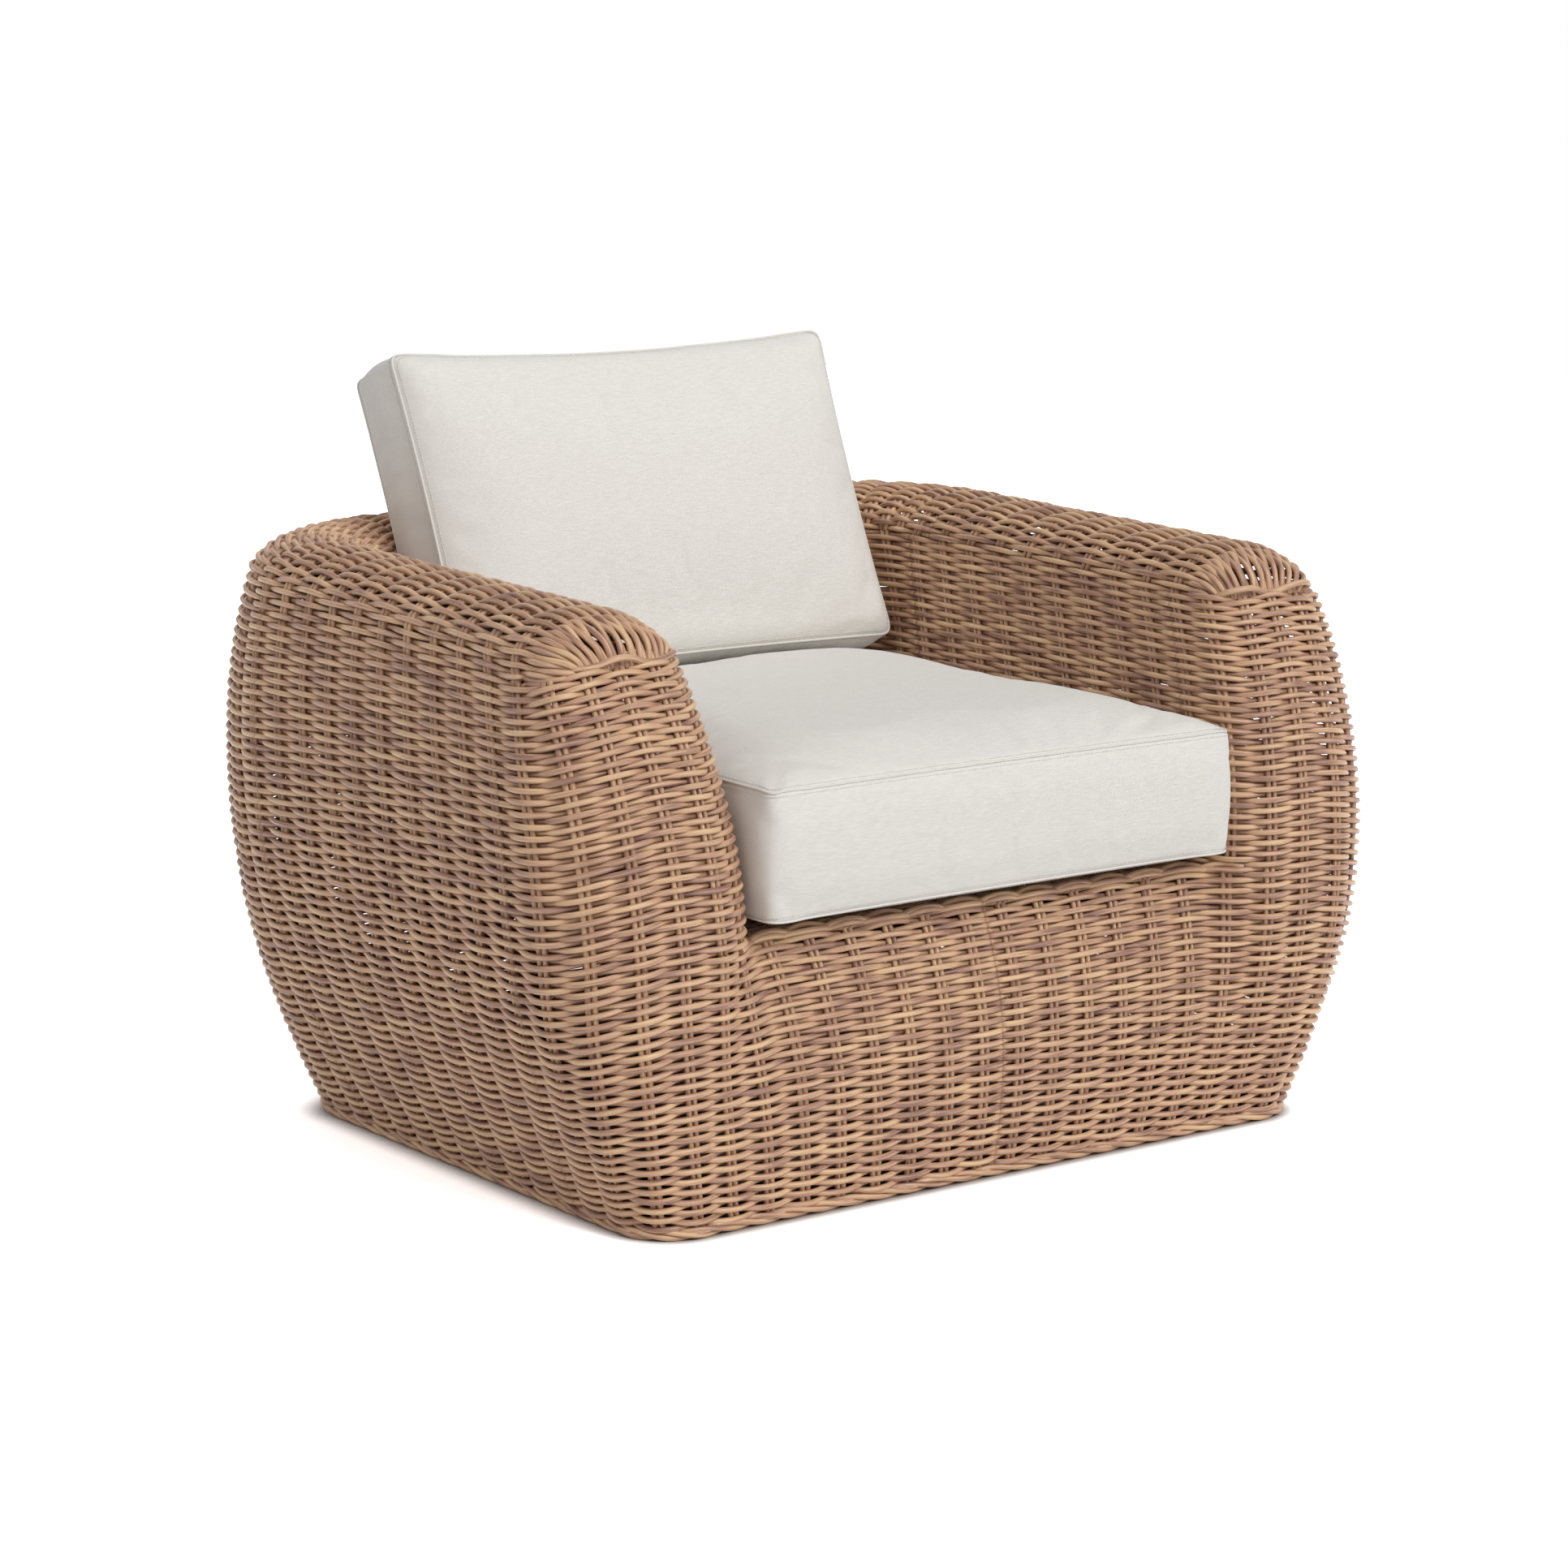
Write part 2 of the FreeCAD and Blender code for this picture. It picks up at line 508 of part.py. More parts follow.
def arm_frame(foot, seat):
    """Arm rails, nose hoops, ribs and crown arches."""
    front_foot, back_foot, side_foot, cross, foot_front, foot_back, foot_x = foot
    seat_side, seat_back = seat
    z = RAIL_LEVEL - RAIL_BELOW_CROWN
    inset = WEAVE_THICKNESS + FRAME_CLEARANCE + RAIL_TUBE / 2
    a, f, b = side_half(z) - inset, nose_depth(z + RAIL_TUBE / 2) - inset, back_depth(z) - inset
    w, d = inner_half(z) + inset, inner_depth(z) + inset
    rn = max(nose_radius(z) - inset, RAIL_TUBE * 0.8)
    rb, rbi = back_radius(z) - inset, back_inner_radius(z) + inset

    def arc(cx, cy, r, first, last):
        p = [at(cx + r * math.cos(math.radians(n)), cy + r * math.sin(math.radians(n)), z)
             for n in (first, (first + last) / 2, last)]
        return Part.Arc(*p).toShape()

    outer_side = tube(line(at(-a, -f + rn, z), at(-a, b - rb, z)), RAIL_TUBE)
    inner_side = tube(line(at(-w, -f + rn, z), at(-w, d - rbi, z)), RAIL_TUBE)
    outer_path = Part.Wire([arc(a - rb, b - rb, rb, 0, 90),
                            Part.LineSegment(at(a - rb, b, z), at(-a + rb, b, z)).toShape(),
                            arc(-a + rb, b - rb, rb, 90, 180)])
    inner_path = Part.Wire([arc(w - rbi, d - rbi, rbi, 0, 90),
                            Part.LineSegment(at(w - rbi, d, z), at(-w + rbi, d, z)).toShape(),
                            arc(-w + rbi, d - rbi, rbi, 90, 180)])
    outer_back = tube(outer_path, RAIL_TUBE)
    inner_back = tube(inner_path, RAIL_TUBE)
    nose_path = Part.Wire([arc(-a + rn, -f + rn, rn, 180, 270),
                           Part.LineSegment(at(-a + rn, -f, z), at(-w - rn, -f, z)).toShape(),
                           arc(-w - rn, -f + rn, rn, 270, 360)])
    nose = tube(nose_path, RAIL_TUBE)
    save_pair("arm_rail_outer", outer_side[0])
    save_pair("arm_rail_inner", inner_side[0])
    save("back_rail_outer", outer_back[0])
    save("back_rail_inner", inner_back[0])
    save_pair("nose_hoop", nose[0])

    floor_z = GLIDE_HEIGHT + FOOT_TUBE / 2
    belly = BELLY_LEVEL * 0.8
    rib_inset = WEAVE_THICKNESS + RIB_TUBE / 2 + RIB_CLEARANCE
    side_ribs, inner_ribs, arches = [], [], []
    for y in SIDE_RIB_PLACES:
        path = bow(V(-foot_x, y - MID_DEPTH, floor_z), at(-(side_half(belly) - rib_inset), y, belly),
                   at(-a, y, z))
        side_ribs.append(coped(path, RIB_TUBE, side_foot, outer_side[1])[0])
        low = at(-post_line(), y, SEAT_LEVEL - WEAVE_THICKNESS - SEAT_GAP - RAIL_TUBE / 2)
        inner_ribs.append(coped(line(low, at(-w, y, z)), RIB_TUBE, seat_side, inner_side[1])[0])
        path = bow(at(-a, y, z), at(-(a + w) / 2, y, z + ARM_ARCH_RISE), at(-w, y, z))
        arches.append(coped(path, ARCH_TUBE, outer_side[1], inner_side[1])[0])
    save_pair("side_ribs", group(side_ribs))
    save_pair("inner_side_ribs", group(inner_ribs))
    save_pair("arm_arches", group(arches))

    back_ribs, inner_back_ribs, back_arches = [], [], []
    for x in BACK_RIB_PLACES:
        path = line(V(x, foot_back - MID_DEPTH, floor_z), at(x, b, z))
        back_ribs.append(coped(path, RIB_TUBE, back_foot, outer_back[1])[0])
        seat_z = SEAT_LEVEL - WEAVE_THICKNESS - SEAT_GAP - RAIL_TUBE / 2
        seat_y = INNER_SEAT_DEPTH + WEAVE_THICKNESS + FRAME_CLEARANCE + RAIL_TUBE / 2
        path = line(at(x, seat_y, seat_z), at(x, d, z))
        inner_back_ribs.append(coped(path, RIB_TUBE, seat_back, inner_back[1])[0])
        path = bow(at(x, b, z), at(x, (b + d) / 2, z + BACK_ARCH_RISE), at(x, d, z))
        back_arches.append(coped(path, ARCH_TUBE, outer_back[1], inner_back[1])[0])
    save("back_ribs", group(back_ribs))
    save("inner_back_ribs", group(inner_back_ribs))
    save("back_arches", group(back_arches))

    mid_x = (a + w) / 2
    low = V(-(foot_x - nose_radius(floor_z)), -foot_front - MID_DEPTH, floor_z)
    middle = at(-(mid_x - 12), -(nose_depth(belly) - rib_inset), belly)
    path = bow(low, middle, at(-mid_x, -f, z))
    save_pair("nose_rib", coped(path, RIB_TUBE, front_foot, nose[1])[0])


# Cushions
def pillow_ring(hx, y0, y1, z, r, rear, draw, grow):
    """Outline of a cushion: rounded corners, and between them edges drawn in by draw."""
    x, f, b = hx + grow, y0 - grow, y1 + grow
    corners = [(x - r, f + r, r, -90), (x - rear, b - rear, rear, 0),
               (-x + rear, b - rear, rear, 90), (-x + r, f + r, r, 180)]
    arcs = []
    for cx, cy, r, first in corners:
        arcs.append([V(cx + r * math.cos(math.radians(first + n)), cy + r * math.sin(math.radians(first + n)), z)
                     for n in (0, 45, 90)])
    edges = []
    for n, points in enumerate(arcs):
        nxt = arcs[(n + 1) % 4]
        p, q = points[2], nxt[0]
        along = (q - p).normalize()
        middle = (p + q) * 0.5 + V(-along.y, along.x, 0) * draw[n]
        edges.append(Part.Arc(*points).toShape())
        edges.append(Part.Arc(p, middle, q).toShape())
    return Part.Wire(edges)


def pillow(hx, y0, y1, rear, low, box_height, high, draw, inset):
    """Boxed cushion lying flat, its lower seam at height 0, with a crown below and above the boxing."""
    r = CORNER_RADIUS - inset
    rear = rear - inset

    def cap(seam, rise):
        rings = []
        for way_in, part in CUSHION_CROWN_SHAPE:
            sink = way_in * min(hx, (y1 - y0) / 2)
            more = sink * CUSHION_CROWN_ROUNDING
            bow_in = [d * (1 - part * 0.8) for d in draw]
            rings.append(pillow_ring(hx, y0, y1, seam + rise * part, r + more, rear + more * 0.2,
                                     bow_in, -sink - inset))
        return loft(rings)

    band = loft([pillow_ring(hx, y0, y1, inset, r, rear, draw, -inset),
                 pillow_ring(hx, y0, y1, box_height / 2, r, rear, draw, CUSHION_BOX_BULGE - inset),
                 pillow_ring(hx, y0, y1, box_height - inset, r, rear, draw, -inset)])
    below = cap(inset, -low)
    above = cap(box_height - inset, high)
    return band.fuse(below).fuse(above)


def cushion(name, place, core_sizes=None, **sizes):
    """Cover and core of one cushion. core_sizes are the sizes in which the core is smaller than the cover."""
    outer = pillow(inset=0, **sizes)
    inner = pillow(inset=COVER_THICKNESS, **sizes)
    core = pillow(inset=COVER_THICKNESS + CORE_CLEARANCE, **{**sizes, **(core_sizes or {})})
    cover = outer.cut(inner)
    for shape in (cover, core):
        shape.Placement = place.multiply(shape.Placement)
    save(name + "_cover", cover)
    save(name + "_core", core)
    print(name, "core in its cover's cloth", round(cover.common(core).Volume, 3))
    return cover


def seat_cushion():
    half = INNER_SEAT_HALF_WIDTH - CUSHION_SIDE_GAP
    back = INNER_SEAT_DEPTH - SEAT_CUSHION_BACK_GAP
    floor = lifted(SEAT_LEVEL, back) + SEAT_GAP + SEAT_CUSHION_BELOW
    place = FreeCAD.Placement(V(0, -MID_DEPTH, floor), FreeCAD.Rotation())
    return cushion("seat_cushion", place, hx=half, y0=-SEAT_CUSHION_FRONT, y1=back, rear=SEAT_CUSHION_REAR_RADIUS,
                   low=SEAT_CUSHION_BELOW, box_height=SEAT_CUSHION_BOX, high=SEAT_CUSHION_CROWN, draw=SEAT_CUSHION_DRAW)


def back_cushion():
    """Built flat with its front face down, then stood up and leaned back."""
    turn = FreeCAD.Rotation(V(1, 0, 0), 90 - BACK_CUSHION_LEAN)
    place = FreeCAD.Placement(V(0, BACK_CUSHION_FOOT - MID_DEPTH, BACK_CUSHION_FLOOR), turn)
    flip = FreeCAD.Placement(V(0, 0, 0), FreeCAD.Rotation(V(0, 1, 0), 180))
    core_sizes = {"hx": BACK_CUSHION_HALF_WIDTH - CORE_SIDE_ROOM, "y0": CORE_END_ROOM / 2,
                  "y1": BACK_CUSHION_HEIGHT - CORE_END_ROOM, "box_height": BACK_CUSHION_BOX - CORE_REAR_ROOM,
                  "high": BACK_CUSHION_REAR_CROWN - CORE_REAR_ROOM}
    return cushion("back_cushion", place.multiply(flip), core_sizes, hx=BACK_CUSHION_HALF_WIDTH, y0=0,
                   y1=BACK_CUSHION_HEIGHT, rear=CORNER_RADIUS, low=BACK_CUSHION_CROWN, box_height=BACK_CUSHION_BOX,
                   high=BACK_CUSHION_REAR_CROWN, draw=BACK_CUSHION_DRAW)


crown_full = woven_walls()
deck()
foot_parts = foot_frame()
seat_parts = seat_frame(foot_parts)
arm_frame(foot_parts, seat_parts)
seat_cover = seat_cushion()
back_cover = back_cushion()
print("back cushion to crown", round(back_cover.distToShape(crown_full)[0], 2))
print("back cushion to seat cushion", round(back_cover.distToShape(seat_cover)[0], 2))
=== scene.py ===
"""Woven club chair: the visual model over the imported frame.

Lengths in the shape code are millimetres, in the frame that the CAD uses: X right, front at -Y, Z up,
depths measured from the middle of the foot until place() moves them. Meshes are written in metres.
"""

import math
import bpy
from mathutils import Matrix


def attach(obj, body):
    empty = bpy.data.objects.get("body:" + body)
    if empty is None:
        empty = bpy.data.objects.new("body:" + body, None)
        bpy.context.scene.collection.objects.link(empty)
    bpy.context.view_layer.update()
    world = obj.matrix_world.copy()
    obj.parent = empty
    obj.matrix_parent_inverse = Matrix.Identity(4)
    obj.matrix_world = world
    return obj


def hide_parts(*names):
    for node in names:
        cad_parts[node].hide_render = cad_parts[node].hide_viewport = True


bl_info = {
    "name": "Woven Club Chair",
    "version": (1, 0, 0),
    "blender": (4, 5, 0),
    "location": "View3D > Sidebar > Chair",
    "description": "Builds the resin strands, cushions, finishes and stage of a woven club chair",
    "category": "Add Mesh",
}

import bpy
import numpy as np
from bpy.props import FloatProperty, FloatVectorProperty, IntProperty, PointerProperty
from mathutils import Matrix

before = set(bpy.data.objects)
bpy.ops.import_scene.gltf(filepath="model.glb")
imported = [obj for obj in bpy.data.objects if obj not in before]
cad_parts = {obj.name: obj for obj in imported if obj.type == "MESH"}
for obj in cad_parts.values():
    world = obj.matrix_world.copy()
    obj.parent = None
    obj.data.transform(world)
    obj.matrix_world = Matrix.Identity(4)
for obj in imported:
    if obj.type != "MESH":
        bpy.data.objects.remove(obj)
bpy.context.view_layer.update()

# Levels, depths and sizes that the CAD uses too.
SEAT_LEVEL = 279.0
RAIL_LEVEL = 550.0
CROWN_RISE = 42.0
RAIL_SLOPE = 0.026
WEAVE_FOOT = 4.0
MID_DEPTH = 35.5
NOSE_SPLIT, BACK_SPLIT, INNER_BACK_SPLIT = -265.0, 185.0, 169.0
NOSE_INSIDE = 358.0         # inner end of the arm front's flat, below the seat
NOSE_TURN = 68.0            # radius with which the arm front turns into the hollow beside the apron

# A swell: level of its widest place, level of its top, power that draws it in above, and its size at the foot,
# the widest place and the top.
SIDE = (340.0, RAIL_LEVEL, 2.4, 409.0, 517.0, 482.0)
FRONT = (230.0, RAIL_LEVEL, 2.4, 340.0, 365.0, 284.0)
APRON = (125.0, SEAT_LEVEL, 2, 337.0, 352.0, 314.0)
# Corner radii at the foot, the seat and the rail, and the power above the seat.
NOSE_RADIUS = (55.0, 95.0, 35.0, 3)
REAR_RADIUS = (105.0, 185.0, 220.0, 1)
BACK_DEPTH = (340.0, 436.0)     # at the foot and the rail
HOLLOW_RADIUS = (500.0, 60.0)   # at the foot and the seat
# Inner wall: size at the seat and the rail, and the power, for the half width, depth, front and back corner radii.
INNER = ((290.0, 330.0, 2), (265.0, 337.0, 1), (68.0, 35.0, 3), (66.0, 108.0, 1))

BORDER_LEVEL = 550.0        # the top row's level
NOSE_PULL = 0.26            # how much closer together the stakes stand on an arm front at its top
PULL_BELOW = 60.0           # that begins so far below the seat
PULL_WIDTH = 2.5            # and fades over so many stakes

# Measured on the photo, 1932 pixels square: place in metres, view direction, lens in mm on a 36 mm sensor.
CAMERA_PLACE = (-2.542, -3.4715, 1.143)
CAMERA_FORWARD = (0.583, 0.791, -0.184)
CAMERA_LENS = 96.28


# ---------------------------------------------------------------- shape of the chair

def share(z, low, high):
    """Where z lies from low to high, held to 0..1."""
    return np.clip((z - low) / (high - low), 0.0, 1.0)


def swell(z, level, top, power, foot, widest, end):
    """Size at level z: a quarter sine from foot to widest, then widest less a power of the share up to the top."""
    rise = np.sin(0.5 * math.pi * share(z, 0, level))
    above = share(z, level, top) ** power
    return np.where(z <= level, foot + (widest - foot) * rise, widest + (end - widest) * above)


def radius_at(z, foot, seat, rail, power):
    """Corner radius at level z: straight from foot to seat, then a power of the share up to the rail."""
    return np.where(z <= SEAT_LEVEL, foot + (seat - foot) * share(z, 0, SEAT_LEVEL),
                    seat + (rail - seat) * share(z, SEAT_LEVEL, RAIL_LEVEL) ** power)


def outline(z):
    """Half width, front depth, back depth and corner radii (front, back) of the outer wall at level z."""
    back = BACK_DEPTH[0] + (BACK_DEPTH[1] - BACK_DEPTH[0]) * share(z, 0, RAIL_LEVEL)
    return swell(z, *SIDE), swell(z, *FRONT), back, radius_at(z, *NOSE_RADIUS), radius_at(z, *REAR_RADIUS)


def inner_outline(z):
    """Half width, depth and corner radii (front, back) of the inner wall at level z."""
    up = share(z, SEAT_LEVEL, RAIL_LEVEL)
    return tuple(seat + (rail - seat) * up ** power for seat, rail, power in INNER)


def arc(x, y, radius, first, last, count=20):
    """Points (cx + r cos a, cy + r sin a) for a from first to last degrees, per level."""
    first, last = (np.broadcast_to(np.asarray(v, float), x.shape) for v in (first, last))
    angle = np.radians(first[:, None] + (last - first)[:, None] * np.linspace(0, 1, count))
    return np.stack([x[:, None] + radius[:, None] * np.cos(angle),
                     y[:, None] + radius[:, None] * np.sin(angle)], axis=2)


def point(x, y):
    """One plan point per level."""
    x, y = np.broadcast_arrays(np.asarray(x, float), np.asarray(y, float))
    return np.stack([x, y], axis=1)[:, None]


def running_length(points):
    """Length of each line (lines, points, dimensions) from its first point to each of its points."""
    step = np.linalg.norm(np.diff(points, axis=1), axis=2)
    return np.concatenate([np.zeros((len(points), 1)), np.cumsum(step, axis=1)], axis=1)


def resample(points, places):
    """Points at the given shares of each line's length, by linear interpolation on its running length."""
    length = running_length(points)
    target = np.broadcast_to(places, (len(points), np.shape(places)[-1])) * length[:, -1:]
    low = np.clip((length[:, :, None] <= target[:, None, :]).sum(axis=1) - 1, 0, points.shape[1] - 2)
    start, end = np.take_along_axis(length, low, 1), np.take_along_axis(length, low + 1, 1)
    part = ((target - start) / np.maximum(end - start, 1e-9))[..., None]
    a, b = (np.take_along_axis(points, i[..., None], 1) for i in (low, low + 1))
    return a + (b - a) * part


def place(plan, z):
    """Plan points with their level, tilted back and moved into the CAD frame: z + 0.026 y z / 550."""
    z = np.broadcast_to(z, plan.shape[:-1])
    x, y = plan[..., 0], plan[..., 1]
    return np.stack([x, y - MID_DEPTH, z + RAIL_SLOPE * y * z / RAIL_LEVEL], axis=-1)


def outer_path(z):
    """Right half of the outer wall's plan: back middle, back corner, side, nose corner, nose middle."""
    a, f, b, rf, rb = outline(z)
    w, _, ri, _ = inner_outline(z)
    start = np.where(z > SEAT_LEVEL, w + ri, np.minimum(NOSE_INSIDE, a - rf - 1))
    return np.concatenate([point(0 * a, b), arc(a - rb, b - rb, rb, 90, 0), arc(a - rf, -f + rf, rf, 0, -90),
                           point((a - rf + start) / 2, -f)], axis=1)


def inner_path(z):
    """Right half of the inner wall's plan, above the seat: nose middle, arm side, inner back corner, middle."""
    a, f, _, rf, _ = outline(z)
    w, d, ri, rbi = inner_outline(z)
    return np.concatenate([point((a - rf + w + ri) / 2, -f), arc(w + ri, -f + ri, ri, 270, 180),
                           arc(w - rbi, d - rbi, rbi, 0, 90), point(0 * a, d)], axis=1)


def apron_path(z):
    """Right half of the front below the seat: nose middle, out round the nose, hollow, apron middle."""
    a, f, _, rf, _ = outline(z)
    depth = swell(z, *APRON)
    hollow = HOLLOW_RADIUS[0] + (HOLLOW_RADIUS[1] - HOLLOW_RADIUS[0]) * share(z, 0, SEAT_LEVEL)
    out = np.full_like(z, NOSE_TURN)
    turn = np.arccos(1 - (f - depth) / (out + hollow))
    start = np.minimum(NOSE_INSIDE, a - rf - 1)
    inward, centre = (out + hollow) * np.sin(turn), -f + out - (out + hollow) * np.cos(turn)
    turn = np.degrees(turn)
    return np.concatenate([point((a - rf + start) / 2, -f), arc(start, -f + out, out, 270, 270 - turn),
                           arc(start - inward, centre, hollow, 90 - turn, 90), point(0 * a, -depth)], axis=1)


def stake_places(count, detail, z, nose):
    """Shares of the plan's length for the columns of count stakes at each level, nose 0 or 1 at the nose's middle.

    Above the seat the stakes draw together there: a column at t of the length from the nose stands at
    t (1 - q exp(-t / w)).
    """
    t = np.abs(np.linspace(0, 1, int(count * detail) + 1) - nose)
    q = NOSE_PULL * share(z, SEAT_LEVEL - PULL_BELOW, RAIL_LEVEL)[:, None]
    return np.abs(nose - t * (1 - q * np.exp(-t * count / PULL_WIDTH)))


def wall(path, low, high, columns):
    """Lines up a wall (columns, levels, 3), at the shares of the plan's length that columns gives for each level."""
    z = np.linspace(low, high, 90)
    return np.swapaxes(place(resample(path(z), columns(z)), z[:, None]), 0, 1)


def rows_up(lines, places):
    """Grid (rows, columns, 3) of the points at shares of each line's length."""
    return np.swapaxes(resample(lines, places), 0, 1)


def unit(v):
    """Vectors of length 1."""
    return v / np.maximum(np.linalg.norm(v, axis=-1, keepdims=True), 1e-9)


def grid_normals(grid):
    """Outward normals of a grid (rows, columns, 3): up the rows cross along the columns."""
    return unit(np.cross(np.gradient(grid, axis=0), np.gradient(grid, axis=1)))


# ---------------------------------------------------------------- meshes

def mirrored(points, sign):
    """Points or normals of the right half, turned to the left half for sign -1."""
    return points * np.array([sign, 1, 1])


class Shell:
    """Faces gathered for one mesh: vertices in mm, faces as index arrays, a UV pair for each face corner."""

    def __init__(self):
        self.verts, self.faces, self.uvs, self.count = [], [], [], 0

    def add(self, verts, faces, uvs=None):
        """Adds vertices (n, 3), a list of face arrays (m, k), and a list of UV arrays (m, k, 2), else zeros."""
        self.verts.append(verts.reshape(-1, 3))
        self.faces += [f + self.count for f in faces]
        self.uvs += uvs or [np.zeros((*f.shape, 2)) for f in faces]
        self.count += len(self.verts[-1])

    def tubes(self, centres, normals, radius, sides, seeds, length=None, sign=1):
        """Round strands with closed ends: rings C + r (N cos a + (T x N) sin a) along centres (lines, points, 3).

        U is the length along the strand in metres, counted from its start or as given. V is its seed plus the
        share of the turn, the same on both sides of N, so that a mirrored strand matches at its end.
        """
        centres, normals = mirrored(centres, sign), mirrored(normals, sign)
        lines, points = centres.shape[:2]
        tangent = unit(np.gradient(centres, axis=1))
        across = unit(np.cross(tangent, normals))
        up = np.cross(across, tangent)
        angle = 2 * math.pi * np.arange(sides) / sides
        radius = np.broadcast_to(radius, (lines, points))[..., None, None]
        spokes = up[:, :, None] * np.cos(angle)[:, None] + across[:, :, None] * np.sin(angle)[:, None]
        base = (np.arange(lines)[:, None, None] * points + np.arange(points - 1)[:, None]) * sides
        k = np.arange(sides)
        i, j = base + k, base + (k + 1) % sides
        quads = np.stack([i, j, j + sides, i + sides], axis=-1).reshape(-1, 4)
        first = np.arange(lines)[:, None] * points * sides
        caps = np.concatenate([first + k[::-1], first + (points - 1) * sides + k])
        length = (running_length(centres) if length is None else length) / 1000
        whole = (lines, points - 1, sides)
        u0, u1 = (np.broadcast_to(v[:, :, None], whole) for v in (length[:, :-1], length[:, 1:]))
        seeds = np.asarray(seeds, float)[:, None, None]
        v0, v1 = (np.broadcast_to(seeds + np.minimum(k + d, sides - k - d) / sides, whole) for d in (0, 1))
        uv = np.stack([np.stack(p, -1) for p in ((u0, v0), (u0, v1), (u1, v1), (u1, v0))], axis=-2)
        cap_uv = np.zeros((len(caps), sides, 2)) + np.tile(seeds[:, 0], (2, 1))[:, :, None]
        self.add(centres[:, :, None] + radius * spokes, [quads, caps], [uv.reshape(-1, 4, 2), cap_uv])

    def build(self, name, material):
        """Writes the gathered faces to a new object at the origin, in metres."""
        verts = np.concatenate(self.verts) / 1000
        loops = np.concatenate([f.ravel() for f in self.faces]).astype(np.int32)
        totals = np.concatenate([np.full(len(f), f.shape[1]) for f in self.faces])
        mesh = bpy.data.meshes.new(name)
        mesh.vertices.add(len(verts))
        mesh.vertices.foreach_set("co", verts.astype(np.float32).ravel())
        mesh.loops.add(len(loops))
        mesh.loops.foreach_set("vertex_index", loops)
        mesh.polygons.add(len(totals))
        mesh.polygons.foreach_set("loop_start", np.concatenate([[0], np.cumsum(totals)[:-1]]).astype(np.int32))
        # the strands' end caps stay flat, so that they don't bend the shading of a strand that another piece takes on
        mesh.polygons.foreach_set("use_smooth", totals <= 4)
        layer = mesh.uv_layers.new(name="strand")
        layer.data.foreach_set("uv", np.concatenate([u.reshape(-1, 2) for u in self.uvs]).astype(np.float32).ravel())
        mesh.update(calc_edges=True)
        if mesh.validate():
            raise RuntimeError(f"{name}: the mesh had faults")
        mesh.materials.append(material)
        obj = bpy.data.objects.new(name, mesh)
        bpy.context.scene.collection.objects.link(obj)
        return obj


def quad_rings(rings, points, first=0):
    """Faces between rings of points that follow each other, the first vertex being first."""
    base, k = first + points * np.arange(rings - 1)[:, None], np.arange(points)
    after = (k + 1) % points
    return np.stack([base + k, base + after, base + points + after, base + points + k], axis=-1).reshape(-1, 4)


def finish_piece(obj, body, nodes):
    """Puts a piece on its body, in place of the CAD nodes."""
    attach(obj, body)
    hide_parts(*nodes)


def woven(shell, name, *nodes):
    """Builds a piece of the weave on the chair, in place of the CAD nodes."""
    finish_piece(shell.build(name, strand()), "chair", nodes)


# ---------------------------------------------------------------- weave

WEAVE_SHARPNESS = 0.85      # below 1, a row turns a little tighter round a stake than a cosine does
UNEVEN_OUT, UNEVEN_UP = 0.22, 0.35      # how far the weaver's hand strays, in millimetres
PAIR_GAP = 0.54             # half the distance between a pair's stakes, in strands
STAKE_SIDES = 5
ARCHED_ROWS, ARCHED_STAKES, ARCH = 4, 2, 1.7    # rows under the seat that arch up, stakes it takes to grow, rise


def settings():
    """The scene's chair settings."""
    return bpy.context.scene.woven_chair


def smooth(t):
    """Eased share t t (3 - 2 t)."""
    return t * t * (3 - 2 * t)


def drift(rows, stakes, detail, seed):
    """Uneven hand of the weaver (rows, stakes * detail + 1): random values at the stakes, eased between them."""
    values = np.random.default_rng(seed).normal(size=(rows, stakes + 2))
    spot = np.arange(stakes * detail + 1) / detail
    low = spot.astype(int)
    part = smooth(spot - low)
    return values[:, low] * (1 - part) + values[:, low + 1] * part


def woven_wave(stake, number):
    """Swing of a row round the stakes, cos pi(stake + row), with the turns a little tighter than a cosine's."""
    wave = np.cos(math.pi * (stake + number))
    return np.sign(wave) * np.abs(wave) ** WEAVE_SHARPNESS


def weave_lines(grid, first_row, first_stake, detail, seed):
    """Centres and normals of the rows of a plain weave on a grid whose columns are 1/detail of a stake apart.

    Each row lies depth - h cos(pi (stake + row)) under the surface, so that it passes over one stake and under the
    next.
    """
    s = settings()
    rows, columns = grid.shape[:2]
    normals = grid_normals(grid)
    stake = first_stake + np.arange(columns) / detail
    wave = woven_wave(stake[None], (first_row + np.arange(rows))[:, None])
    ends = np.minimum(np.arange(columns), np.arange(columns)[::-1])
    uneven = drift(rows, (columns - 1) // detail + 2, detail, seed)[:, :columns] * np.clip(ends / detail, 0, 1)
    climb = unit(np.gradient(grid, axis=0))
    centres = grid + normals * (s.wave_height * wave + UNEVEN_OUT * uneven - s.weave_depth)[..., None]
    return centres + climb * UNEVEN_UP * uneven[..., None], normals


